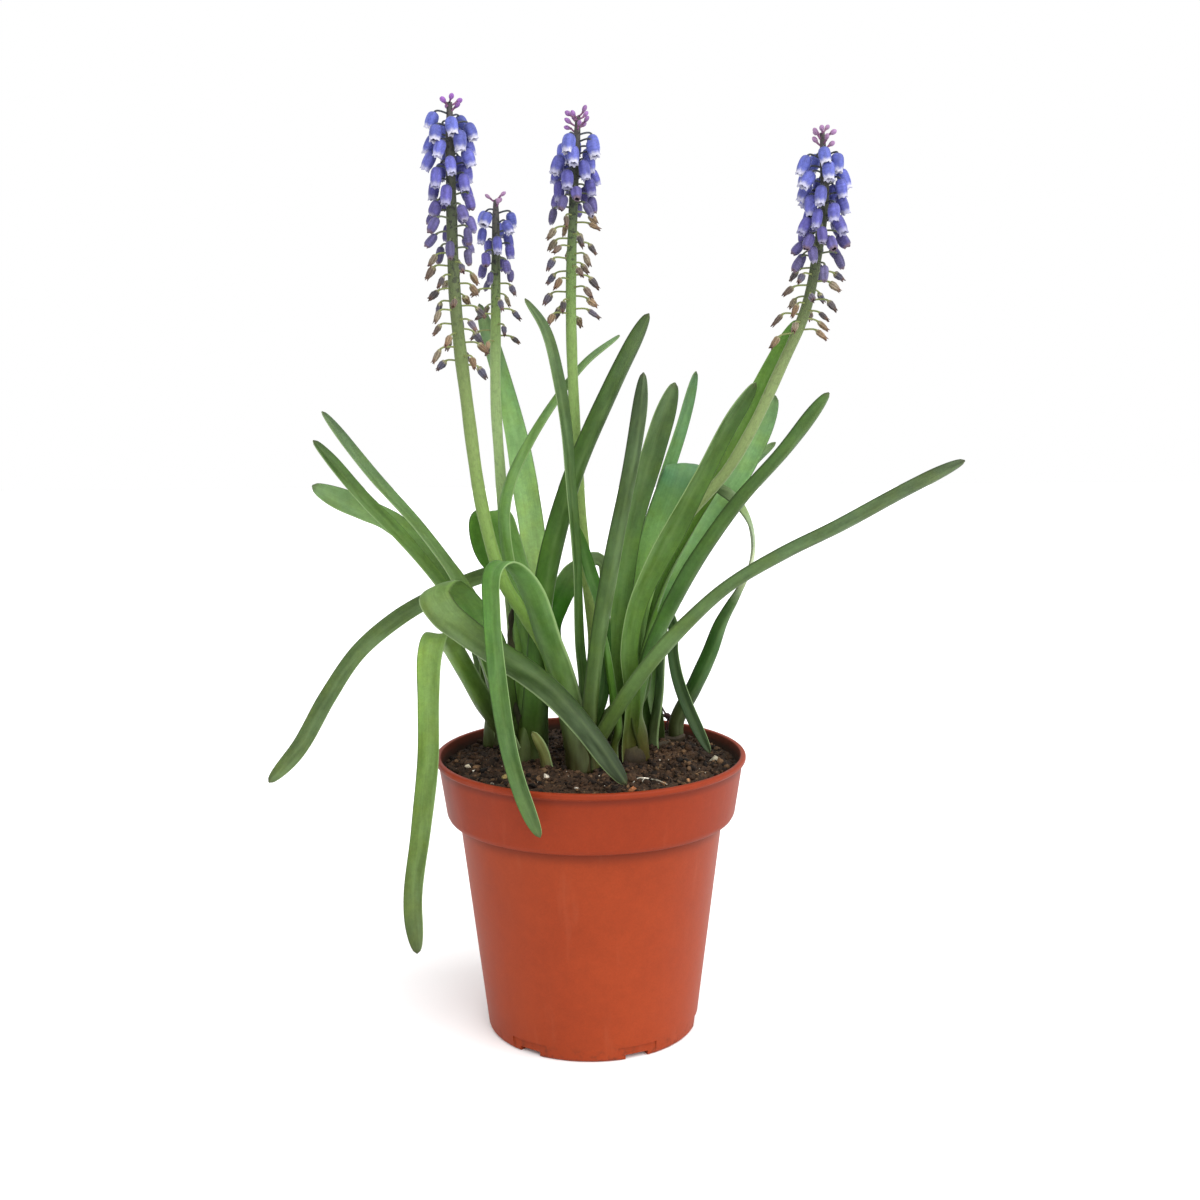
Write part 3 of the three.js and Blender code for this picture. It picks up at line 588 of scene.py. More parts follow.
def pot_outline():
    """Radius and height of the whole wall, from the axis under the floor to the axis above it."""
    outside = [
        (POT_BASE_RADIUS - 0.6, 0),
        (POT_BASE_RADIUS, 0.8),
        (POT_STEP_RADIUS, POT_STEP_HEIGHT + 0.6),
        (POT_BAND_LOW_RADIUS - 0.7, POT_STEP_HEIGHT + 0.9),
        (POT_BAND_LOW_RADIUS, POT_STEP_HEIGHT + 2.2),
        (POT_BAND_HIGH_RADIUS, POT_HEIGHT - 1.9),
        (POT_RIM_RADIUS, POT_HEIGHT - 1.5),
        (POT_RIM_RADIUS, POT_HEIGHT - 0.4),
        (POT_RIM_RADIUS - 0.4, POT_HEIGHT),
    ]
    inside = [
        (POT_BAND_HIGH_RADIUS - 0.7, POT_HEIGHT),
        (POT_BAND_HIGH_RADIUS - POT_WALL, POT_HEIGHT - 3),
        (POT_BAND_LOW_RADIUS - POT_WALL, POT_STEP_HEIGHT + 4.4),
        (POT_BAND_LOW_RADIUS - 1.5, POT_STEP_HEIGHT + 2.6),
        (POT_STEP_RADIUS - POT_WALL, POT_STEP_HEIGHT + 1.2),
        (POT_BASE_RADIUS - POT_WALL, POT_FLOOR),
    ]
    return rounded([(0.01, 0), *outside, *inside, (0.01, POT_FLOOR)], 0.5)


def box_cutter(width, height, inner, outer, angle):
    """A block across the foot of the wall, from below the floor up to a height."""
    mesh = bpy.data.meshes.new("cutter")
    corners = [(r, s * width / 2, z) for r in (inner, outer) for s in (-1, 1) for z in (-1, height)]
    turn = Matrix.Rotation(math.radians(angle), 3, "Z")
    faces = [(0, 1, 3, 2), (4, 6, 7, 5), (0, 4, 5, 1), (2, 3, 7, 6), (0, 2, 6, 4), (1, 5, 7, 3)]
    mesh.from_pydata([(turn @ Vector(corner)) * MM for corner in corners], [], faces)
    return add_object("cutter", mesh)


def cut(piece, cutters):
    """Takes each cutter out of the piece, and deletes it."""
    for cutter in cutters:
        modifier = piece.modifiers.new("cut", "BOOLEAN")
        modifier.operation = "DIFFERENCE"
        modifier.solver = "EXACT"
        modifier.object = cutter
    graph = bpy.context.evaluated_depsgraph_get()
    cut_mesh = bpy.data.meshes.new_from_object(piece.evaluated_get(graph))
    piece.modifiers.clear()
    old = piece.data
    piece.data = cut_mesh
    bpy.data.meshes.remove(old)
    for cutter in cutters:
        bpy.data.objects.remove(cutter)


def make_pot():
    outline = pot_outline()
    points = lathed(outline[:, :1], outline[:, 1:], full_turn(POT_SIDES))
    shape = Shape()
    shape.add(points, ring_faces(len(outline), POT_SIDES), (1, 1, 1))
    pot = make_piece("pot_shell", shape, [POT], "pot")
    outer = POT_BASE_RADIUS + CUT_OVERSHOOT
    cutters = []
    for i in range(NOTCH_COUNT):
        angle = NOTCH_FIRST_ANGLE + i * 360 / NOTCH_COUNT
        cutters.append(box_cutter(NOTCH_WIDTH, NOTCH_HEIGHT, POT_BASE_RADIUS - NOTCH_DEPTH, outer, angle))
        cutters.append(box_cutter(DRAIN_WIDTH, DRAIN_HEIGHT, POT_BASE_RADIUS - DRAIN_REACH, outer, angle))
    cut(pot, cutters)
    pot.data.shade_smooth()
    pot.data.set_sharp_from_angle(angle=math.radians(POT_CREASE))


# ---------------------------------------------------------------- soil
def soil_height(x, y):
    """Height of the soil at a place: a low mound with lumps down to about a millimetre."""
    reach = min(1.0, math.hypot(x, y) / SOIL_RADIUS)
    mound = SOIL_EDGE_HEIGHT + (SOIL_MIDDLE_HEIGHT - SOIL_EDGE_HEIGHT) * (1 - reach**3)
    wide = noise.noise(Vector((x, y, 3.0)) / 11)
    lumps = noise.noise(Vector((x, y, 9.0)) / 3.6)
    crumbs = noise.noise(Vector((x, y, 5.0)) / 1.5)
    fine = noise.noise(Vector((x, y, 1.0)) / 0.7)
    calm = 1 - 0.5 * reach**6
    return mound + calm * (1.3 * wide + 1.5 * abs(lumps) + 0.9 * crumbs + 0.35 * fine - 0.6)


def soil_tones(count):
    """Dark earth tones, from almost black to grey brown."""
    dark, warm, pale = linear((20, 13, 8)), linear((73, 51, 33)), linear((128, 99, 70))
    tones = blend(dark, warm, rng.random((count, 1)) ** 1.2)
    is_paler = rng.random((count, 1)) < 0.12
    return np.where(is_paler, blend(tones, pale, 0.5), tones)


def soil_bed(shape):
    """The bed itself: a rough top and a plain side and bottom inside the pot."""
    angles = full_turn(SOIL_SIDES)
    wall = [
        (POT_BASE_RADIUS - POT_WALL - 0.4, POT_FLOOR + 0.4),
        (POT_STEP_RADIUS - POT_WALL - 0.4, POT_STEP_HEIGHT),
        (POT_BAND_LOW_RADIUS - 2.0, POT_STEP_HEIGHT + 5),
        (SOIL_RADIUS - 0.3, SOIL_EDGE_HEIGHT - 3),
    ]
    rings = [[(*polar(r, angle), z) for angle in angles] for r, z in wall]
    for share in np.linspace(1, 0.004, SOIL_RINGS):
        ring = [polar(SOIL_RADIUS * share, angle) for angle in angles]
        rings.append([(x, y, soil_height(x, y)) for x, y in ring])
    points = np.array(rings)
    depth = (points[..., 2].ravel() - SOIL_EDGE_HEIGHT - 0.6)[:, None]
    # Darker where the soil lies lower and lighter where it stands higher: painted shade in its hollows and
    # painted light on its rises.
    tones = linear((56, 40, 27)) * (1 + 0.35 * np.clip(depth, -1, 1))
    shape.add(points, ring_faces(len(rings), SOIL_SIDES), tones)


def crumb_ball():
    """An icosahedron's corners and faces."""
    g = (1 + 5**0.5) / 2
    corners = [(-1, g, 0), (1, g, 0), (-1, -g, 0), (1, -g, 0), (0, -1, g), (0, 1, g)]
    corners += [(0, -1, -g), (0, 1, -g), (g, 0, -1), (g, 0, 1), (-g, 0, -1), (-g, 0, 1)]
    faces = [(0, 11, 5), (0, 5, 1), (0, 1, 7), (0, 7, 10), (0, 10, 11), (1, 5, 9), (5, 11, 4)]
    faces += [(11, 10, 2), (10, 7, 6), (7, 1, 8), (3, 9, 4), (3, 4, 2), (3, 2, 6), (3, 6, 8)]
    faces += [(3, 8, 9), (4, 9, 5), (2, 4, 11), (6, 2, 10), (8, 6, 7), (9, 8, 1)]
    return unit(np.array(corners)), faces


def random_turn():
    """A rotation matrix in a random direction, from a random quaternion."""
    w, x, y, z = unit(rng.normal(size=4))
    return np.array([
        [1 - 2 * (y * y + z * z), 2 * (x * y - z * w), 2 * (x * z + y * w)],
        [2 * (x * y + z * w), 1 - 2 * (x * x + z * z), 2 * (y * z - x * w)],
        [2 * (x * z - y * w), 2 * (y * z + x * w), 1 - 2 * (x * x + y * y)],
    ])


def add_crumb(shape, x, y, size, tone, flat=0.8):
    """One rough crumb, sunk a little into the soil."""
    ball, faces = crumb_ball()
    body = ball * (1 + 0.3 * rng.normal(size=(len(ball), 1))).clip(0.5, 1.5)
    body = (body * size * rng.uniform(0.6, 1.25, 3)) @ random_turn().T
    body[:, 2] *= flat
    body += (x, y, soil_height(x, y) + size * 0.3)
    shape.add(body, faces, tone)


def add_strand(shape, points, radius, tone, sides=6):
    """A root fibre or straw through points whose heights are above the soil."""
    points = [(x, y, soil_height(x, y) + z) for x, y, z in points]
    path, marks = evenly(curve_through(points, 60), 0.45)
    taper = radius * (0.55 + 0.45 * np.sin(np.pi * np.clip(marks / marks[-1], 0.05, 0.95)))
    shape.tube(path, taper, sides, tone)


def random_place(reach):
    """A place anywhere within that distance of the pot's axis."""
    return polar(reach * math.sqrt(rng.random()), rng.uniform(0, 2 * math.pi))


def add_loose_grains(shape):
    """Dark crumbs and much smaller pale grit, all over the soil."""
    for tone in soil_tones(CRUMB_COUNT):
        place = random_place(CRUMB_REACH)
        size = 0.22 + 0.95 * rng.random() ** 2.5
        add_crumb(shape, *place, size, tone)
    for _ in range(GRIT_COUNT):
        place = random_place(GRIT_REACH)
        tone = linear((205, 196, 178)) * rng.uniform(0.45, 1.0)
        add_crumb(shape, *place, rng.uniform(0.14, 0.34), tone)


def add_loose_fibres(shape):
    """Short fine fibres that wander over the soil."""
    for _ in range(FIBRE_COUNT):
        angle = rng.uniform(0, 2 * math.pi)
        start = np.array(polar(FIBRE_REACH * math.sqrt(rng.random()), angle))
        heading = rng.uniform(0, 2 * math.pi)
        points = []
        for _ in range(FIBRE_POINTS):
            points.append((*start, rng.uniform(0.15, 0.5)))
            heading += rng.normal() * 0.7
            start = start + rng.uniform(0.7, 1.5) * np.array(polar(1, heading))
            start = start * min(1, FIBRE_LIMIT / np.linalg.norm(start))
        tone = linear((120, 98, 74)) * rng.uniform(0.35, 1.3)
        add_strand(shape, points, rng.uniform(0.05, 0.11), tone, sides=5)


def make_soil():
    shape = Shape()
    soil_bed(shape)
    add_loose_grains(shape)
    for x, y, size, tone in SOIL_LANDMARKS:
        add_crumb(shape, x, y, size, linear(tone), flat=0.6)
    for points, radius, tone in SOIL_STRANDS:
        add_strand(shape, points, radius, linear(tone))
    add_loose_fibres(shape)
    make_piece("soil_bed", shape, [SOIL], "soil")


# x, y, size and colour of the chips and grains that stand out on the soil
SOIL_LANDMARKS = [
    (-35.5, -5, 1.0, (196, 184, 160)), (-33.5, -9, 0.7, (226, 220, 205)),
    (-24.5, -17, 1.5, (190, 166, 104)), (-12.5, -22, 1.1, (214, 204, 186)),
    (-27.5, -23, 0.6, (190, 180, 166)), (27.5, 26.5, 1.9, (116, 62, 34)),
    (36, -2, 1.7, (168, 160, 140)), (4, -30, 0.6, (232, 230, 222)), (20, -27, 1.2, (176, 128, 84)),
    (27, -24, 0.9, (184, 134, 92)), (11, -33, 1.3, (140, 86, 52)), (-4, -31, 0.7, (205, 195, 180)),
]
# route (x, y, height above the soil), radius and colour: four pale fibres, and a dead twig with
# the knot on it
SOIL_STRANDS = [
    ([(11.5, -27, 0.3), (13, -25.5, 0.9), (15, -26, 1), (17, -24.5, 0.8), (18.5, -25.5, 0.3)], 0.2,
        (214, 206, 190)),
    ([(13.5, -21.5, 0.2), (15, -23.5, 0.9), (14.2, -26, 0.6), (16, -28.5, 0.4)], 0.16, (200, 192, 176)),
    ([(17, -24, 0.3), (18.5, -27.5, 0.8), (21, -28.5, 0.4)], 0.14, (190, 180, 160)),
    ([(23.5, 27.8, 0), (23.6, 28, 3), (24, 29, 5.8), (23, 30, 7.8), (20.5, 31, 12)], 0.3, (74, 50, 54)),
    ([(22.8, 29.9, 6.6), (23.8, 29.2, 6.2), (24.9, 28.8, 5.2)], 0.95, (70, 46, 50)),
    ([(11.5, -24, 0.3), (13, -23, 0.8), (15, -24, 0.5), (16.5, -22.5, 0.3)], 0.15, (206, 198, 182)),
]


# ---------------------------------------------------------------- bulbs
# x and y of the neck, belly radius, belly height, and height of the sheath above the neck
BULBS = {
    "bulb_left": (-27, 20, 5.3, 71, 2),
    "bulb_centre_left": (-18.5, 0.5, 8, 62, 4),
    "bulb_front": (-3, -9.5, 7.5, 60, 4.5),
    "bulb_right": (12, 0, 7.5, 61, 4.5),
    "bulb_back_right": (20, 15.5, 5, 68, 1.6),
    "bulb_far_right": (25, 24.5, 4.6, 70, 1.4),
    "bulb_back": (-3, 11, 5.6, 65, 2),
    "bulb_back_middle": (8.5, 14.5, 5.8, 66, 2),
}
BULB_NECK = 4.5
BULB_SIDES = 48
NECK_TOP = 80.3


def bulb_outline(belly, height, neck, sheath):
    """Radius and height from the root plate, over belly and neck, to the inside of the sheath."""
    return rounded([
        (0.05, height - 0.93 * belly), (0.35 * belly, height - 0.92 * belly),
        (0.8 * belly, height - 0.6 * belly), (belly, height), (0.88 * belly, height + 0.5 * belly),
        (0.86 * neck, height + 1.05 * belly), (0.95 * neck, NECK_TOP - 1.2), (neck, NECK_TOP),
        (0.93 * neck, NECK_TOP + 0.5 * sheath), (0.82 * neck, NECK_TOP + sheath),
        (0.72 * neck, NECK_TOP + sheath - 0.4), (0.8 * neck, NECK_TOP + 0.4 * sheath),
        (0.5 * neck, NECK_TOP - 1), (0.05, NECK_TOP - 1.5),
    ], 1.5, 4)


def make_bulb(name, x, y, belly, height, sheath):
    """A bulb in its brown skin, with a torn papery sheath that wraps the shoots above the soil."""
    outline = bulb_outline(belly, height, min(BULB_NECK, 0.9 * belly), sheath)
    angles = full_turn(BULB_SIDES)
    phase = rng.uniform(0, 6, 3)
    waves = 1 + 0.05 * np.sin(2 * angles + phase[0]) + 0.03 * np.sin(5 * angles + phase[1])
    torn = 0.5 + 0.3 * np.sin(angles + phase[2]) + 0.2 * np.sin(3 * angles + phase[0])
    above = smooth(outline[:, 1], NECK_TOP, NECK_TOP + sheath)[:, None]
    heights = outline[:, 1:] - above * torn * 0.6 * sheath
    skin, low, top = linear((104, 74, 44)), linear((44, 34, 18)), linear((72, 68, 32))
    tones = blend(low, top, smooth(heights, NECK_TOP, NECK_TOP + 8)[..., None])
    tones = np.where((heights < NECK_TOP - 3)[..., None], skin, tones)
    shape = Shape()
    points = lathed(outline[:, :1] * waves, heights, angles, x, y)
    shape.add_skin(points, tones, (np.sin(angles), heights, 0))
    make_piece(name + "_skin", shape, [HUSK], name)


# ---------------------------------------------------------------- leaves
# Each leaf: its bulb, the side of the neck it leaves (degrees from +X) and how far out, its widths
# from base to tip, the direction of its width axis along its length (degrees from +X), its tones
# from base to tip, and its route.
LEAVES = {
    "leaf_01": ("bulb_back", 140, 3.5, [6, 5, 4.6, 5.2, 5.4, 5.2], [230, 190, 180, 180],
        [(64, 84, 42), (96, 126, 70), (98, 124, 74), (86, 108, 66)],
        [(-9.5, 18, 97), (-13.5, 24, 114), (-18.5, 28, 126.5), (-25, 31, 131), (-33.5, 34, 129),
         (-47, 37, 123), (-60, 38, 115.5), (-72.5, 37, 105), (-82, 34, 91.5), (-91, 30, 76),
         (-100, 27, 66)]),
    "leaf_02": ("bulb_left", 70, 3.5, [8, 6.6, 5, 4.2, 3.6], [160, 230, 225],
        [(78, 100, 48), (130, 162, 92), (104, 138, 78), (88, 112, 80)],
        [(-29.5, 24, 96), (-31.5, 22, 112), (-38, 20, 127.5), (-49.3, 17, 145), (-63.5, 14, 162.5),
         (-76.5, 9, 181)]),
    "leaf_03": ("bulb_left", 195, 3.5, [7.5, 6, 4.6, 4.1, 4.2], [285, 230, 215],
        [(80, 104, 40), (88, 120, 52), (90, 124, 57), (60, 86, 40)],
        [(-29, 17, 95.5), (-34, 13, 113), (-41.7, 7, 128.5), (-53.7, 0, 145.8), (-63.2, -7, 157.5),
         (-71.5, -12, 169), (-75.5, -13, 174)]),
    "leaf_04": ("bulb_left", 135, 3.5, [6, 5.4, 5.6, 7, 7], [225, 205, 185],
        [(80, 108, 50), (92, 126, 62), (108, 144, 74), (124, 158, 104)],
        [(-32, 26, 94.5), (-35, 27, 110.5), (-40, 27, 124), (-50.5, 26, 138.5), (-58.5, 26, 146),
         (-66, 26, 150), (-74, 25, 154), (-82.5, 23, 158.5)]),
    # leaf_05's last tones are dark as painted shade on its low, hanging part.
    "leaf_05": ("bulb_centre_left", 200, 3.5, [8, 7.6, 9, 9.4, 8, 7.2, 6.4, 5.6],
        [290, 195, 165, 175, 190, 190],
        [(70, 98, 36), (64, 96, 36), (104, 152, 70), (106, 134, 72), (62, 90, 36), (44, 64, 28),
         (30, 42, 22)],
        [(-24.5, -1, 96), (-28, -4, 114), (-32.5, -9, 125), (-36.5, -13, 131), (-40, -17, 133.8),
         (-42.5, -21.5, 132), (-39.5, -25, 127.5), (-33, -27.5, 122.5), (-25.5, -29.5, 117.5),
         (-17, -32, 112.5), (-9, -35, 106.5), (-1.5, -38, 98.5), (4.5, -40, 90.5), (9.5, -41, 83.5)]),
    "leaf_06": ("bulb_front", 250, 3.5, [8, 8.8, 9.4, 8.4, 5.8, 5, 4.8, 4.6, 4.4],
        [340, 325, 335, 355, 360],
        [(46, 54, 22), (78, 114, 42), (86, 132, 58), (78, 122, 50), (70, 104, 48), (72, 97, 48)],
        [(-7, -13, 100.5), (-9.4, -14.5, 110), (-12, -16, 118), (-14, -18, 125.5), (-16.2, -21, 132.5),
         (-19.5, -25, 139), (-23, -29.5, 142), (-25.5, -32.5, 140), (-25.8, -34.5, 129.5),
         (-25, -37, 117), (-23.5, -40, 104.5), (-21.5, -42.5, 93.5), (-19, -44.5, 84.5),
         (-16, -46, 76.5), (-13.5, -47, 71)]),
    "leaf_07": ("bulb_left", 275, 3.5, [7.5, 6.4, 7.6, 6.2, 5.8, 5.6, 5], [365, 350, 360, 360, 355],
        [(46, 64, 20), (108, 150, 60), (130, 166, 84), (102, 133, 58), (100, 127, 62), (80, 96, 54)],
        [(-31.5, 13, 93), (-35.5, 8, 102), (-39, 1, 111), (-41, -6, 116.5), (-42.5, -12, 119.5),
         (-43.5, -16, 118.5), (-44.5, -18, 113.5), (-45, -19, 102), (-45.5, -19.5, 85),
         (-48, -19, 64.5), (-51, -17, 43.5), (-50.5, -15, 26.5)]),
    # leaf_08's middle tones are lightened as painted light against the shade of the leaves and spike in
    # front of it.
    "leaf_08": ("bulb_centre_left", 147, 3.5, [9, 8, 8.2, 8.6, 8.4, 7], [20, 15, 8, 2, 0],
        [(66, 92, 32), (112, 160, 66), (130, 178, 90), (92, 140, 50), (82, 134, 40)],
        [(-18.6, 3.6, 98), (-18, 3.8, 114.5), (-19.5, 4, 127.5), (-21.8, 4.5, 136.5), (-24, 5, 144.5),
         (-26, 6, 150), (-28.5, 7.5, 151.3), (-30.8, 9.5, 149), (-30.5, 10.5, 142),
         (-28.5, 10.5, 134)]),
    # leaf_09's bright tones are painted light: they stand in for light shining through the leaf and lift it
    # out of its neighbours' shade.
    "leaf_09": ("bulb_centre_left", 42, 3.5, [6.5, 7.2, 8, 7.4, 5.8, 4], [150, 185, 190, 180],
        [(96, 132, 54), (150, 196, 104), (204, 244, 152), (178, 226, 144), (128, 173, 108),
         (117, 145, 108)],
        [(-15, 10, 99), (-16, 13, 125), (-16.5, 14, 143), (-18.5, 15, 157.5), (-21.5, 17, 175),
         (-25.5, 19, 191), (-31.5, 21, 211.5)]),
    "leaf_10": ("bulb_centre_left", 255, 3.5, [6.5, 5, 4, 3.8, 3.4, 3], [345, 340, 325, 300],
        [(78, 100, 42), (90, 136, 50), (94, 138, 60), (104, 144, 76), (98, 132, 82)],
        [(-16.5, -2, 100), (-17.2, -2, 112), (-19.3, -2.5, 122), (-22.3, -2.5, 135), (-24, -2.5, 146),
         (-24, -2, 154), (-22, 0.5, 162), (-16.5, 5, 173), (-8.5, 9, 185), (-0.5, 13, 194.5),
         (9.5, 19, 202)]),
    "leaf_11": ("bulb_front", 120, 3.5, [5, 3.3, 2.9, 3.3, 3.6, 3], [210, 215, 200],
        [(56, 80, 34), (58, 95, 28), (64, 92, 44), (84, 108, 68)],
        [(-2, -7.5, 100), (-3, -9.5, 117), (-3.5, -12, 140), (-5, -13, 162.5), (-6, -13, 176.5),
         (-8, -12, 190), (-11.5, -10, 203.5), (-17, -8, 212)]),
    "leaf_12": ("bulb_centre_left", -40, 3.5, [9.5, 7, 6.2, 5.8, 5], [25, 15, 30],
        [(60, 96, 28), (66, 110, 26), (65, 98, 35), (64, 86, 44)],
        [(-15, -6, 102), (-12.5, -6, 132), (-5, -4, 160.5), (7, 0, 187.5), (17.5, 5, 208)]),
    "leaf_13": ("bulb_front", -40, 3.5, [6.5, 5.2, 4.8, 4.6, 4], [50, 15, 10],
        [(48, 56, 20), (72, 101, 43), (70, 96, 53), (62, 80, 50)],
        [(0.5, -17, 101.5), (3, -18, 121.5), (7.5, -19.5, 146.5), (11.5, -21, 166), (14, -22, 182),
         (15, -22, 192)]),
    "leaf_14": ("bulb_right", 163, 3.3, [6.5, 5.4, 5.6, 6, 6.6, 5.8], [200, 190, 195],
        [(88, 124, 48), (102, 148, 62), (73, 105, 50), (72, 95, 56)],
        [(7.8, -1.5, 101), (8, -4.5, 116), (8.8, -6.8, 126), (11.9, -9, 148), (16, -10, 163.5),
         (20.5, -11, 178.5), (24, -11, 189)]),
    "leaf_15": ("bulb_back_middle", 100, 4.8, [6, 5, 4.5, 4.2, 3.8], [235, 200, 200],
        [(84, 124, 60), (124, 180, 98), (126, 178, 112), (96, 134, 92)],
        [(14, 21, 108), (17, 21, 135.5), (22, 22, 157), (28, 22, 176), (32, 21, 191.5)]),
    # leaf_16's first tones are dark as painted shade where it stands hidden among other leaves.
    "leaf_16": ("bulb_back_middle", 80, 1.2, [8, 8.6, 9.2, 9.6, 9.6, 7], [345, 362, 365, 362],
        [(60, 92, 34), (70, 108, 42), (100, 146, 66), (124, 172, 84), (152, 204, 108), (136, 186, 104),
         (88, 138, 90), (118, 164, 112), (70, 108, 60)],
        [(14, 14, 100), (13.5, 13.5, 112), (16, 12.5, 129), (20.5, 11, 145.5), (25, 10.5, 158),
         (27, 12, 162.8), (28, 15.5, 164), (28.5, 19, 161), (29, 21, 154), (29.5, 22, 145)]),
    "leaf_17": ("bulb_far_right", 0, 1.6, [4.6, 5, 5.2, 4.6, 3.8, 2.6, 2.4, 4.4, 4.8],
        [10, 5, 5, 10, 25, 80, 95, 90, 60],
        [(27, 43, 16), (36, 76, 20), (56, 100, 36), (66, 99, 49), (205, 220, 190), (150, 176, 124),
         (34, 68, 18)],
        [(31.5, 24.5, 94.5), (36.5, 23.5, 106), (40, 22, 116), (44.5, 20, 125), (47.5, 18, 132.5),
         (48.5, 15, 139.5), (47.5, 12, 146), (45, 9, 151.5), (42, 6.5, 155.5), (38.5, 4.5, 158),
         (35, 3, 159.5)]),
    "leaf_18": ("bulb_right", 250, 3.2, [4.4, 4.8, 6, 6.8, 5.6, 5], [200, 195, 200],
        [(80, 112, 44), (88, 126, 48), (74, 108, 42), (58, 87, 36)],
        [(12, -7.5, 99), (11, -9.5, 114), (13.3, -11, 127), (18.2, -12.5, 138.5), (23.8, -13.5, 149),
         (31.5, -15.5, 164), (38.5, -17, 178), (45.5, -18, 189)]),
    "leaf_19": ("bulb_back_middle", -60, 3.5, [6, 5.6, 5.4, 5.4, 5.4, 5], [30, 100, 150, 160],
        [(76, 110, 40), (80, 126, 36), (100, 138, 52), (92, 140, 53)],
        [(14.5, 10, 95), (16.5, 9, 112.5), (21, 8, 129), (28.5, 8, 145), (39.5, 8, 165), (49, 8, 185.5),
         (60, 6.5, 206)]),
    "leaf_20": ("bulb_back_right", 180, 3.2, [5.6, 6, 6.4, 7, 6.8], [150, 185, 190],
        [(80, 133, 48), (96, 144, 78), (148, 198, 126), (122, 160, 110)],
        [(15, 17.5, 93.5), (14.5, 17.8, 104), (18, 17.5, 119), (26, 16.5, 133), (35, 15.5, 148.5),
         (44.7, 14.5, 163), (54.5, 13, 184.5)]),
    "leaf_21": ("bulb_back_right", 90, 3.2, [5, 4.6, 4.2, 3.8], [180, 160, 150],
        [(90, 124, 64), (122, 168, 96), (118, 149, 104)],
        [(19, 22, 97), (19.5, 24, 110), (28, 26, 132), (40.5, 27, 151), (48, 27.5, 162.5),
         (56.5, 28, 170)]),
    "leaf_22": ("bulb_right", -5, 3.2, [6.4, 7, 6.6, 5.4, 4.8], [85, 35, 25],
        [(60, 82, 32), (76, 120, 50), (66, 97, 42), (74, 106, 51)],
        [(13.5, -2.5, 94), (15.2, -2.8, 104), (18, -3.8, 113.5), (22.5, -5, 123.5), (30, -7.5, 138),
         (42, -11, 156), (54.5, -13, 170.5), (66, -14, 186)]),
    "leaf_23": ("bulb_front", 22, 3.5, [11, 10, 7.5, 5.6, 4.8, 4.4, 4.4], [112, 40, 10, 0],
        [(76, 100, 44), (90, 120, 60), (88, 116, 67), (89, 113, 74), (83, 100, 70)],
        [(8.5, -13, 99.5), (17, -15, 111), (27.5, -17, 123), (38.5, -20, 133.5), (53.5, -23, 143),
         (67.5, -26, 150.5), (83, -29, 159.5), (99.5, -32, 168.5)]),
    "leaf_24": ("bulb_back_right", 250, 3.2, [4.2, 4, 3.6, 3.4, 3.7, 3.7], [285, 300, 345, 355],
        [(60, 94, 48), (60, 92, 46), (42, 72, 28), (49, 70, 40)],
        [(20.5, 13, 96.5), (21, 13.5, 107.5), (21.5, 12.5, 116), (23, 10, 120.5), (24.5, 7.5, 118),
         (24.5, 6, 110), (25.7, 5, 103), (28, 4, 96), (31, 2.5, 89), (35, 0.5, 81)]),
    "leaf_25": ("bulb_right", 201, 5.5, [3, 2.4, 2.2], [300, 350, 350],
        [(80, 136, 30), (103, 157, 53), (66, 110, 34)],
        [(8, -5, 90), (6.5, -8, 101), (5, -10, 112), (4, -11, 120)]),
    "leaf_26": ("bulb_front", 77, 3.5, [4, 3.6, 3.8, 4, 3.4], [167, 190, 200],
        [(66, 100, 34), (46, 90, 26), (55, 104, 25), (62, 107, 30)],
        [(3.4, -6.4, 100), (4.2, -7.4, 116), (3, -7.6, 128), (0.5, -7, 135), (-3.5, -7, 149.5)]),
    "leaf_27": ("bulb_back", 200, 3.5, [6.5, 6, 5.6, 5.4, 7, 7, 3.4, 3], [240, 200, 180, 180, 180],
        [(58, 94, 28), (62, 114, 30), (68, 124, 36), (78, 146, 42), (138, 164, 114), (60, 90, 46)],
        [(-6, 12.5, 94), (-10, 14.5, 108), (-11.5, 15.5, 117.5), (-5.5, 16.5, 131), (-1, 17.5, 135),
         (2, 18, 136.5), (4.2, 18.2, 135), (4.6, 18.2, 130), (4.6, 18, 124)]),
}
# How far the width axis of a leaf is raised, along its length (degrees)
LEAF_LIFTS = {
    "leaf_01": [0, -60, -110, -130],
    "leaf_05": [0, -10, -22, -8, 0, 0],
    "leaf_17": [0, 0, 0, 0, 0, 30, 75],
    "leaf_27": [0, 0, 0, 5, 35, 45, 95, 165],
}
SHOOT_ROUTE = [(-12.5, -12.5, LEAF_START_HEIGHT), (-13.5, -12, 85), (-16.5, -11.5, 91)]
SHOOT_TONES = [(84, 76, 40), (104, 108, 50), (140, 142, 72)]
SHOOT_SEED = 5
# The tone of the sheaths at the soil: olive, and browner on some bulbs, kept dark as painted shade among
# the crowded leaf bases
BASE_TONE = (58, 56, 20)
BROWNISH_BASES = {"bulb_right": (82, 62, 24), "bulb_front": (62, 52, 20)}
WORN_TIP = (70, 66, 44)


def leaf_widths(widths, travelled):
    """Widths along a leaf, which end in a blunt rounded tip."""
    length = travelled[-1]
    tip = np.clip((length - travelled) / min(LEAF_TIP_LENGTH, 0.4 * length), 0, 1)
    narrowing = np.maximum(np.sqrt(1 - (1 - tip) ** 2), 0.05) ** LEAF_TIP_POWER
    return along_list(widths, travelled / length) * narrowing


def easing_at_bends(tangents, step):
    """1 where a leaf runs straight, and towards 0 where it folds over and its channel flattens."""
    bend = np.linalg.norm(np.gradient(tangents, axis=0), axis=1) / step
    ease = 1 / (1 + (bend * FOLD_REACH) ** 2)
    kernel = np.hanning(2 * FOLD_BLUR + 1)
    padded = np.pad(ease, FOLD_BLUR, mode="edge")
    return np.convolve(padded, kernel / kernel.sum(), mode="valid")


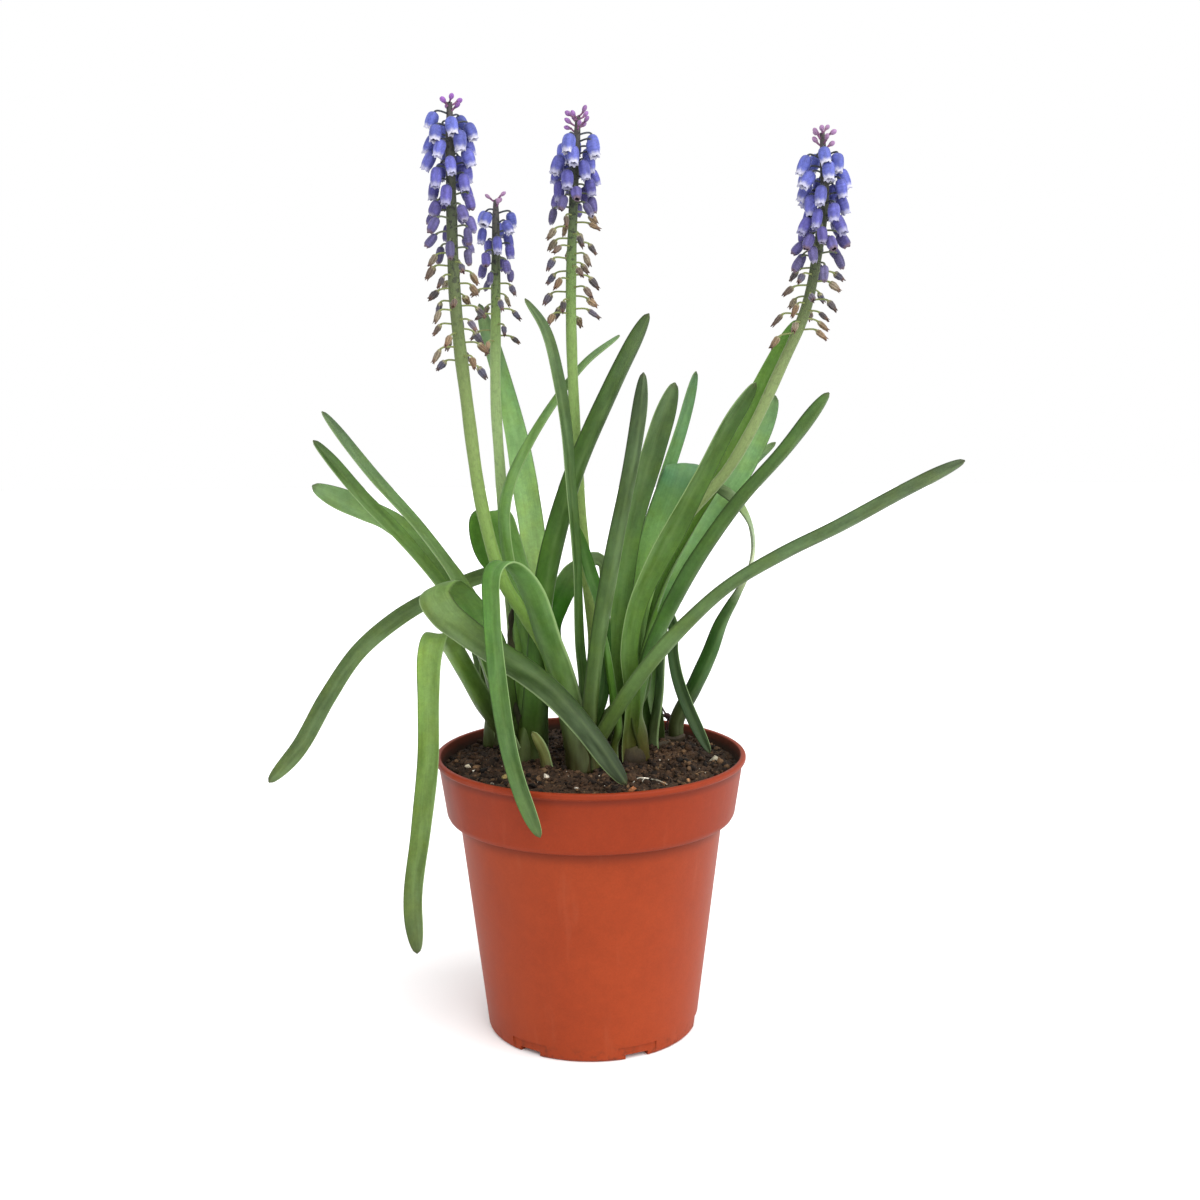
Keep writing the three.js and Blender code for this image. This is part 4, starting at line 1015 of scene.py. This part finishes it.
def width_axis(tangents, travelled, turn, lift, seed):
    """The direction across a leaf at each of its points: square to its route, and swaying a little."""
    share = travelled / travelled[-1]
    sway = 4 * np.sin(travelled / 11.0 + 2.1 * seed) * smooth(share, 0.15, 0.5)
    angle = np.radians(along_list(turn, share) + sway)
    raised = np.radians(along_list(lift, share))
    across = np.stack([np.cos(angle) * np.cos(raised), np.sin(angle) * np.cos(raised), np.sin(raised)], -1)
    return unit(across - (across * tangents).sum(1, keepdims=True) * tangents)


def leaf_section(thick, cup):
    """The way around a leaf, for its thickness and channel depth at each point of its route.

    Gives the place across (-1 to 1), 0 on the outer face or 1 on the inner, and the depth inward.
    """
    s = np.sin(np.linspace(-math.pi / 2, math.pi / 2, LEAF_HALF_POINTS))
    middle = cup[:, None] * (s**2 - 0.5)
    half = thick[:, None] / 2 * np.sqrt(np.maximum(0, 1 - np.abs(s) ** 3))
    keel = 0.16 * thick[:, None] * np.exp(-((s / 0.2) ** 2))
    outer = middle - half - keel
    inner = (middle + half - 0.7 * keel)[:, ::-1]
    across = np.concatenate([s, s[::-1][1:-1]])
    face = np.concatenate([np.zeros(len(s)), np.ones(len(s) - 2)])
    return across, face, np.concatenate([outer, inner[:, 1:-1]], 1)


def leaf_tones(tones, travelled, olive, base_tone):
    """Tones along a leaf, from its sheath to its worn tip."""
    length = travelled[-1]
    tone = along_list([linear(t) for t in tones], travelled / length)
    # Near the soil the tone goes to the base tone: sheath colour darkened with painted shade.
    tone = blend(tone, linear(base_tone), 0.7 * smooth(travelled, olive, 2)[:, None])
    return blend(tone, linear(WORN_TIP), 0.6 * smooth(travelled, length - 2.2, length)[:, None])


def blade(shape, points, widths, turn, lift, tones, seed, olive=OLIVE_LENGTH, base_tone=BASE_TONE):
    """A fleshy channelled leaf along a route, rounded at its edges and drawn to a tip."""
    path, travelled = evenly(curve_through(points, 900), LEAF_STEP)
    share = travelled / travelled[-1]
    tangents = unit(np.gradient(path, axis=0))
    sideways = width_axis(tangents, travelled, turn, lift, seed)
    inward = np.cross(tangents, sideways)
    wide = leaf_widths(widths, travelled)
    wide = wide * (1 + 0.03 * np.sin(travelled / 7.0 + seed) * smooth(share, 0.1, 0.4))
    thick = LEAF_THICKNESS * (0.4 + 0.6 * np.minimum(1, wide / np.mean(widths)))
    cup = (LEAF_CUP + BASE_CUP * smooth(share, 0.3, 0.0)) * easing_at_bends(tangents, travelled[1]) * wide
    across, face, depth = leaf_section(thick, cup)
    reach = wide[:, None] / 2 * across
    skin = path[:, None] + reach[..., None] * sideways[:, None] + depth[..., None] * inward[:, None]
    tone = leaf_tones(tones, travelled, olive, base_tone)[:, None]
    tone = tone * (1 + INNER_FACE_GAIN * face)[None, :, None]
    shape.add_skin(skin, tone, (across, travelled[:, None] + 60.0 * seed, face))


def make_leaf(index, name, bulb, side, out, widths, turn, tones, route):
    x, y = BULBS[bulb][:2]
    out_x, out_y = polar(out, math.radians(side))
    foot = (x + out_x, y + out_y)
    points = [(*foot, LEAF_START_HEIGHT), (*foot, SHEATH_TOP_HEIGHT), *route]
    lift = LEAF_LIFTS.get(name, [0, 0])
    base_tone = BROWNISH_BASES.get(bulb, BASE_TONE)
    shape = Shape()
    blade(shape, points, widths, turn, lift, tones, index, base_tone=base_tone)
    make_piece(name + "_blade", shape, [LEAF], name)


def make_shoot():
    shape = Shape()
    blade(shape, SHOOT_ROUTE, [4, 3.6], [330, 330], [0, 0], SHOOT_TONES, SHOOT_SEED, olive=3)
    make_piece("young_shoot_blade", shape, [LEAF], "young_shoot")


# ---------------------------------------------------------------- flower spikes
# Each spike: its bulb, the height where the florets start, how many florets, the shares of the
# flowering part where the withered, the fading and the open ones end, the angle of the first
# floret, how thick its stalk is, its tones from the base to the top, and its route.
SPIKES = {
    "spike_1": ("bulb_front", 194, 71, (0.44, 0.66, 0.955), 0.4, 1.1,
        [(112, 134, 60), (120, 158, 66), (136, 160, 92), (112, 126, 82), (84, 92, 70), (92, 86, 88)],
        [(-8.5, -9.2, 99.5), (-12.5, -10.2, 114.5), (-18.3, -10.8, 124.5), (-24, -10.8, 134),
         (-29.5, -9, 153.5), (-33.5, -8.5, 184.5), (-36, -9, 211.5), (-36.5, -9, 238.5),
         (-36.5, -8, 264)]),
    "spike_2": ("bulb_left", 199, 34, (0.46, 0.66, 0.93), 2.1, 0.95,
        [(120, 148, 80), (150, 178, 112), (160, 188, 124), (134, 160, 92), (84, 92, 70), (92, 86, 88)],
        [(-23, 14.5, 112.5), (-24.5, 13, 137.5), (-25.5, 11, 161), (-26.5, 10, 184), (-26, 10, 212),
         (-25.5, 10, 240)]),
    # spike_3's lower stalk tones are partly a pale stalk colour and partly painted light against the shade
    # of the leaves in front of it.
    "spike_3": ("bulb_back", 207, 63, (0.5, 0.64, 0.9), 1.1, 0.96,
        [(150, 178, 96), (164, 192, 106), (144, 176, 98), (126, 154, 88), (82, 90, 70), (92, 86, 88)],
        [(1, 10, 110.5), (-1, 9.5, 135), (-2.5, 8.5, 155), (-4, 7, 184), (-4.5, 6, 212), (-3.5, 5, 239),
         (-2, 4, 261.8)]),
    "spike_4": ("bulb_right", 202, 68, (0.34, 0.56, 0.92), 3.4, 0.96,
        [(112, 124, 64), (134, 156, 88), (150, 170, 108), (98, 110, 74), (84, 90, 72), (92, 86, 88)],
        [(12.6, 1.4, 97.5), (12.2, 1.2, 112), (14, -1.2, 126.5), (20.4, -4.5, 140.5), (28.7, -5, 152.5),
         (38.5, -5, 163.5), (46, -5, 176), (53.5, -5, 192), (60.5, -5, 208.5), (63.5, -6, 224.5),
         (65, -7, 238), (64, -8, 255.5)]),
}
# A spike with florets smaller than the others has its share of their size here
FLORET_SIZES = {"spike_2": 0.86}
# How far each spike's buds have paled from magenta towards pink
BUD_PALENESS = {"spike_1": 0.1, "spike_2": 0.75, "spike_3": 0.3, "spike_4": 0.65}
PALE_BUD = (186, 150, 178)
# Radius of the stalk at its foot and under the florets, and then along the flowering part
STALK_FOOT_HEIGHT = 80
STALK_RADII = (1.75, 1.6)
RACHIS_SHARES = (0, 0.3, 0.85, 1)
RACHIS_RADII = (1.62, 1.5, 1.15, 0.7)
STALK_FOOT_TONE = (88, 78, 44)

# Length share and radius share down the outside of a floret and back up inside its mouth
BELL = [
    (0, 0.03), (0.012, 0.26), (0.04, 0.5), (0.09, 0.72), (0.16, 0.87), (0.26, 0.96), (0.38, 1.0),
    (0.52, 1.0), (0.63, 0.985), (0.72, 0.95), (0.79, 0.9), (0.84, 0.85), (0.88, 0.82), (0.92, 0.81),
    (0.96, 0.82), (1.0, 0.8), (0.985, 0.68), (0.96, 0.56), (0.91, 0.47), (0.82, 0.42), (0.68, 0.38),
    (0.6, 0.25), (0.58, 0.02),
]
HUSK_FORM = [
    (0, 0.03), (0.015, 0.35), (0.05, 0.62), (0.12, 0.82), (0.24, 0.95), (0.4, 1.0), (0.56, 0.94),
    (0.7, 0.8), (0.82, 0.66), (0.92, 0.58), (1.0, 0.55), (0.97, 0.42), (0.9, 0.34), (0.8, 0.2),
    (0.76, 0.02),
]
BUD_FORM = [
    (0, 0.15), (0.08, 0.42), (0.22, 0.72), (0.42, 0.96), (0.58, 1.0), (0.74, 0.9), (0.87, 0.66),
    (0.96, 0.36), (1.0, 0.03),
]
# For each age, from the oldest up: form, reach, rise of its top above the stalk end, length,
# radius and droop
AGES = {
    "withered": (HUSK_FORM, 5.4, -0.4, 3.8, 0.84, 46),
    "fading": (BELL, 4.7, -0.2, 4.6, 1.45, 68),
    "open": (BELL, 4.4, 0.5, 5.3, 1.76, 72),
    "bud": (BUD_FORM, 1.7, 0.8, 2.3, 0.66, -35),
}
# For each age, how high its pedicel arches and the pedicel's tone
PEDICELS = {
    "withered": (0.05, linear((150, 160, 100))),
    "fading": (0.4, blend(linear((150, 160, 100)), linear((84, 88, 96)), 0.6)),
    "open": (0.8, linear((84, 88, 96))),
    "bud": (0.2, linear((150, 100, 140))),
}
HUSK_MIDDLES = [
    (104, 98, 112), (120, 104, 92), (150, 126, 98), (84, 78, 80), (140, 128, 108), (92, 90, 108),
    (128, 104, 78),
]


def age_at(place, shares):
    """The age of a floret at its place up a spike, and its maturity: 0 is the youngest of an age."""
    which = np.searchsorted(shares, place, side="right")
    low, high = (0, *shares, 1)[which:which + 2]
    return list(AGES)[which], 1 - (place - low) / (high - low)


def open_tones(t, columns, inside, maturity):
    """Blue bells that pale to a white toothed mouth; the older ones are duller and less white."""
    body = blend(linear((110, 120, 208)), linear((94, 88, 162)), maturity) * rng.uniform(0.75, 1.2)
    tone = body * (0.74 + 0.26 * rows(smooth(t, 0.0, 0.35)))
    tone = tone * (1 + 0.14 * np.cos(6 * columns + math.pi))[None, :, None]
    fringe = smooth(t[:, None] + 0.03 * np.sin(6 * columns), 0.68, 0.93)[..., None] ** 1.2
    tone = blend(tone, linear((228, 226, 240)), fringe * (0.92 - 0.55 * maturity))
    # Deeper inside the mouth the tone darkens: painted shade.
    return blend(tone, linear((84, 82, 124)), rows(inside * smooth(1 - t, 0.04, 0.16)))


def fading_tones(t, columns, inside, maturity):
    """Grey violet bells closing up, with a dull brown or pale mouth."""
    body = blend(linear((100, 92, 162)), linear((104, 98, 136)), maturity) * rng.uniform(0.7, 1.2)
    is_brown = rng.random() < 0.35 + 0.4 * maturity
    tip = linear((124, 100, 96) if is_brown else (176, 170, 190))
    tone = body * (0.8 + 0.2 * rows(smooth(t, 0.0, 0.3)))
    tone = tone * (1 + 0.16 * np.cos(5 * columns + 2 * t[:, None])[..., None])
    tone = blend(tone, tip, 0.8 * rows(smooth(t, 0.78, 1.0)))
    # Deeper inside the mouth the tone darkens: painted shade.
    return blend(tone, linear((52, 46, 60)), rows(inside * smooth(1 - t, 0.02, 0.1)))


def withered_tones(t, columns, inside, maturity):
    """Dry husks: a pale top, a grey, mauve or tan middle and a darker brown tip."""
    middle = linear(HUSK_MIDDLES[rng.integers(len(HUSK_MIDDLES))]) * rng.uniform(0.75, 1.2)
    top = linear((172, 166, 128)) * rng.uniform(0.7, 1.15)
    tip = linear((112, 82, 64)) * rng.uniform(0.5, 1.3)
    tone = blend(top, middle, rows(smooth(t, 0.03, 0.26)))
    tone = blend(tone, tip, 0.8 * rows(smooth(t, 0.6, 0.95)))
    return tone * (1 + 0.3 * np.cos(6 * columns + 4 * t[:, None])[..., None])


def bud_tones(t, columns, inside, maturity):
    """Magenta buds, violet towards their tips."""
    tone = blend(linear((126, 84, 130)), linear((146, 92, 176)), rows(smooth(t, 0.05, 0.5)))
    return (tone * rng.uniform(0.75, 1.25)).repeat(len(columns), 1)


# Each takes the rows, the columns, which rows are inside the mouth, and the maturity
PAINTS = {"withered": withered_tones, "fading": fading_tones, "open": open_tones, "bud": bud_tones}


def floret_skin(age, form, maturity):
    """Shares of the length and the radius at each row of a form and each column around it."""
    t, r = np.array(form).T
    columns = full_turn(FLORET_SIDES)
    mouth = smooth(t, 0.86, 1.0)[:, None]
    body = np.sin(math.pi * t)[:, None]
    lobes = np.cos(6 * columns)
    phase = rng.uniform(0, 6, 3)
    radii = r[:, None] * np.ones(FLORET_SIDES)
    depth = t[:, None] * np.ones(FLORET_SIDES)
    if age == "open":
        radii *= 1 + 0.025 * body * lobes + mouth * (0.09 * lobes + 0.03 * np.sin(2 * columns + phase[0]))
        depth += mouth * (0.032 * lobes + 0.012 * np.sin(3 * columns + phase[1]))
    elif age == "fading":
        radii *= (1 - mouth * (0.28 + 0.15 * maturity)) * (1.08 - 0.33 * maturity)
        wrinkle = 0.07 * np.sin(3 * columns + phase[0]) + 0.05 * lobes
        radii *= 1 + (0.3 + body) * wrinkle + 0.05 * np.sin(2 * columns + 5 * t[:, None] + phase[1])
        depth += mouth * 0.04 * np.sin(3 * columns + phase[2])
    elif age == "withered":
        twist = columns + 0.8 * t[:, None]
        folds = 0.16 * np.cos(6 * twist) + 0.14 * np.sin(2 * twist + phase[0])
        radii *= 1 + folds + 0.06 * np.sin(18 * t[:, None] + phase[1])
        radii *= 1 + mouth * 0.2 * np.sin(3 * columns + phase[1])
        depth += mouth * (0.08 * np.sin(3 * columns + phase[1]) + 0.05 * np.sin(5 * columns + phase[2]))
    return t, columns, depth, radii


def add_floret(shape, centre, angle, age, maturity, size, paleness):
    """One floret of its age on its pedicel, a little unlike all the others."""
    form, reach, rise, length, radius, droop = AGES[age]
    vary = rng.normal(size=6).clip(-1.6, 1.6)
    reach *= size * (1 + 0.09 * vary[0])
    length *= size * (1 + 0.06 * vary[1])
    radius *= size * (1 + 0.06 * vary[2]) * (1 - (0.14 * maturity if age == "open" else 0))
    lean = math.radians(droop + 12 * vary[3])
    outward = np.array([*polar(1, angle), 0.0])
    sideways = np.cross(UP, outward)
    hang = unit(outward * math.cos(lean) - UP * math.sin(lean) + 0.12 * vary[4] * sideways)
    side = unit(np.cross(hang, sideways))
    top = centre + outward * reach + UP * (rise + 0.3 * vary[5])
    t, columns, depth, radii = floret_skin(age, form, maturity)
    ring = spokes(columns, side, np.cross(hang, side))
    points = top + (depth * length)[..., None] * hang + (radii * radius)[..., None] * ring
    inside = np.arange(len(t)) > np.argmax(t)
    tones = PAINTS[age](t, columns, inside, maturity)
    if age == "bud":
        tones = blend(tones, linear(PALE_BUD), paleness)
    kind = rng.uniform(0, 40)
    around = np.sin(columns) + 0.4 * np.cos(2 * columns)
    shape.add_skin(points, tones, (around, 3 * t[:, None], kind))
    add_pedicel(shape, centre, top, outward, hang, age)


def add_pedicel(shape, centre, top, outward, hang, age):
    """The thin stalk of a floret: out from the spike, then over and down into the floret's top."""
    arch, tone = PEDICELS[age]
    reach = np.linalg.norm(top - centre)
    leave = centre + outward * 0.5 * reach + UP * arch
    arrive = top - hang * (0.2 * reach)
    path = bezier(centre, leave, arrive, top + 0.1 * hang, PEDICEL_POINTS)
    w = np.linspace(0, 1, PEDICEL_POINTS)
    radii = 0.26 + 0.12 * smooth(w, 0.8, 1.0) + 0.08 * smooth(w, 0.3, 0.0)
    shape.tube(path, radii, PEDICEL_SIDES, tone * rng.uniform(0.85, 1.1), speckle=0.2, slot=1)


def make_spike(name, bulb, bottom, count, shares, start, thickness, tones, route):
    """A stalk, and its florets in a spiral from the withered ones up to the buds."""
    x, y = BULBS[bulb][:2]
    points = [(x, y, LEAF_START_HEIGHT), (x, y, SHEATH_TOP_HEIGHT), *route]
    fine = curve_through(points, 2000)
    path, travelled = evenly(fine, 0.7)
    heights = path[:, 2]
    flowering = np.clip((heights - bottom) / (heights[-1] - bottom), 0, 1)
    scape = np.interp(heights, (STALK_FOOT_HEIGHT, bottom), STALK_RADII)
    rachis = np.interp(flowering, RACHIS_SHARES, RACHIS_RADII)
    radii = thickness * np.where(flowering > 0, rachis, scape) * (1 + 0.03 * np.sin(travelled / 3.1))
    levels = np.interp(heights, (STALK_FOOT_HEIGHT, bottom, heights[-1]), (0, 0.5, 1))
    stalk = along_list([linear(t) for t in tones], levels)
    stalk = blend(stalk, linear(STALK_FOOT_TONE), 0.6 * smooth(travelled, 12, 3)[:, None])
    speckle = 0.15 + 0.6 * smooth(flowering, 0.0, 0.5)
    shape = Shape()
    shape.tube(path, radii, STEM_SIDES, stalk, speckle, slot=1)
    first = np.argmax(fine[:, 2] >= bottom)
    size, paleness = FLORET_SIZES.get(name, 1), BUD_PALENESS[name]
    for i in range(count):
        place = 1 - (1 - i / (count - 1)) ** CROWDING
        centre = fine[int(first + (len(fine) - 1 - first) * place)]
        angle = start + i * GOLDEN_ANGLE + 0.25 * rng.uniform(-1, 1)
        add_floret(shape, centre, angle, *age_at(place, shares), size, paleness)
    make_piece(name + "_flowers", shape, [PETAL, STEM], name)


# ---------------------------------------------------------------- dried stalk
DRIED_ROUTE = [(-22.3, 1.4, 97), (-23, 1.2, 110), (-22.4, 0.5, 125)]
DRIED_TONE = (62, 62, 38)
DRIED_RADIUS = 0.8
DRIED_SIDES = 12


def make_dried_stalk():
    """A crooked, knotty dead stalk that narrows over its last 3 mm."""
    x, y = BULBS["bulb_centre_left"][:2]
    points = [(x, y, LEAF_START_HEIGHT), (x, y, SHEATH_TOP_HEIGHT), *DRIED_ROUTE]
    path, travelled = evenly(curve_through(points, 400), 0.5)
    wobble = 0.18 * np.sin(travelled / 2.3) + 0.12 * np.sin(travelled / 0.9)
    path = path + wobble[:, None] * np.array([1.0, 0.4, 0])
    radii = DRIED_RADIUS * (1 + 0.2 * np.sin(travelled / 1.7) + 0.12 * np.sin(travelled / 0.6))
    radii = radii * (1 - 0.8 * smooth(travelled, travelled[-1] - 3, travelled[-1]))
    tones = linear(DRIED_TONE) * (1 + 0.4 * np.sin(travelled / 4.0))[:, None]
    shape = Shape()
    shape.tube(path, radii, DRIED_SIDES, tones)
    make_piece("dried_stalk_skin", shape, [DRY], "dried_stalk")


# ---------------------------------------------------------------- floor, light and camera
CAMERA_PLACE = (0, -449, 199)
CAMERA_PITCH = 9.13
CAMERA_YAW = 0.39
CAMERA_ROLL = -0.42
CAMERA_LENS = 47.4
SENSOR_WIDTH = 36
KEY_STRENGTH = 3.2
KEY_SPREAD = 80
KEY_FROM = (0.5, -0.6, 0.75)
FLOOR_SIDE = 3000
FLOOR_BACK = 1800


def make_floor():
    mesh = bpy.data.meshes.new("studio_floor")
    corners = [(-FLOOR_SIDE, -FLOOR_SIDE), (FLOOR_SIDE, -FLOOR_SIDE)]
    corners += [(FLOOR_SIDE, FLOOR_BACK), (-FLOOR_SIDE, FLOOR_BACK)]
    mesh.from_pydata([(x * MM, y * MM, 0) for x, y in corners], [], [(0, 1, 2, 3)])
    mesh.materials.append(floor_material())
    floor = add_object("studio_floor", mesh)


def make_lights():
    """An even white room, and one very soft lamp high on the right."""
    world = bpy.data.worlds.new("studio")
    world.use_nodes = True
    background = world.node_tree.nodes["Background"]
    background.inputs["Color"].default_value = (1, 1, 1, 1)
    background.inputs["Strength"].default_value = 1.0
    bpy.context.scene.world = world
    data = bpy.data.lights.new("key_light", "SUN")
    data.energy = KEY_STRENGTH
    data.angle = math.radians(KEY_SPREAD)
    light = add_object("key_light", data)
    light.rotation_euler = Vector(KEY_FROM).to_track_quat("Z", "Y").to_euler()


def make_camera():
    """The photo's camera: level and aimed by its yaw and pitch, then rolled about its own axis."""
    pitch, yaw, roll = (math.radians(angle) for angle in (CAMERA_PITCH, CAMERA_YAW, CAMERA_ROLL))
    forward = Vector((math.sin(yaw) * math.cos(pitch), math.cos(yaw) * math.cos(pitch), -math.sin(pitch)))
    level = Vector((math.cos(yaw), -math.sin(yaw), 0))
    upright = level.cross(forward)
    right = level * math.cos(roll) + upright * math.sin(roll)
    up = upright * math.cos(roll) - level * math.sin(roll)
    turn = Matrix((right, up, -forward)).transposed().to_4x4()
    data = bpy.data.cameras.new("photo_camera")
    data.lens = CAMERA_LENS
    data.sensor_width = SENSOR_WIDTH
    data.clip_start = 0.01
    data.clip_end = 20
    camera = add_object("photo_camera", data)
    camera.matrix_world = Matrix.Translation(Vector(CAMERA_PLACE) * MM) @ turn
    bpy.context.scene.camera = camera


# ---------------------------------------------------------------- assembly
bpy.context.scene.view_settings.view_transform = "Standard"
make_camera()
make_lights()
make_floor()
make_pot()
make_soil()
for bulb_name, bulb_sizes in BULBS.items():
    make_bulb(bulb_name, *bulb_sizes)
for leaf_index, (leaf_name, leaf) in enumerate(LEAVES.items()):
    make_leaf(leaf_index, leaf_name, *leaf)
make_shoot()
for spike_name, spike in SPIKES.items():
    make_spike(spike_name, *spike)
make_dried_stalk()
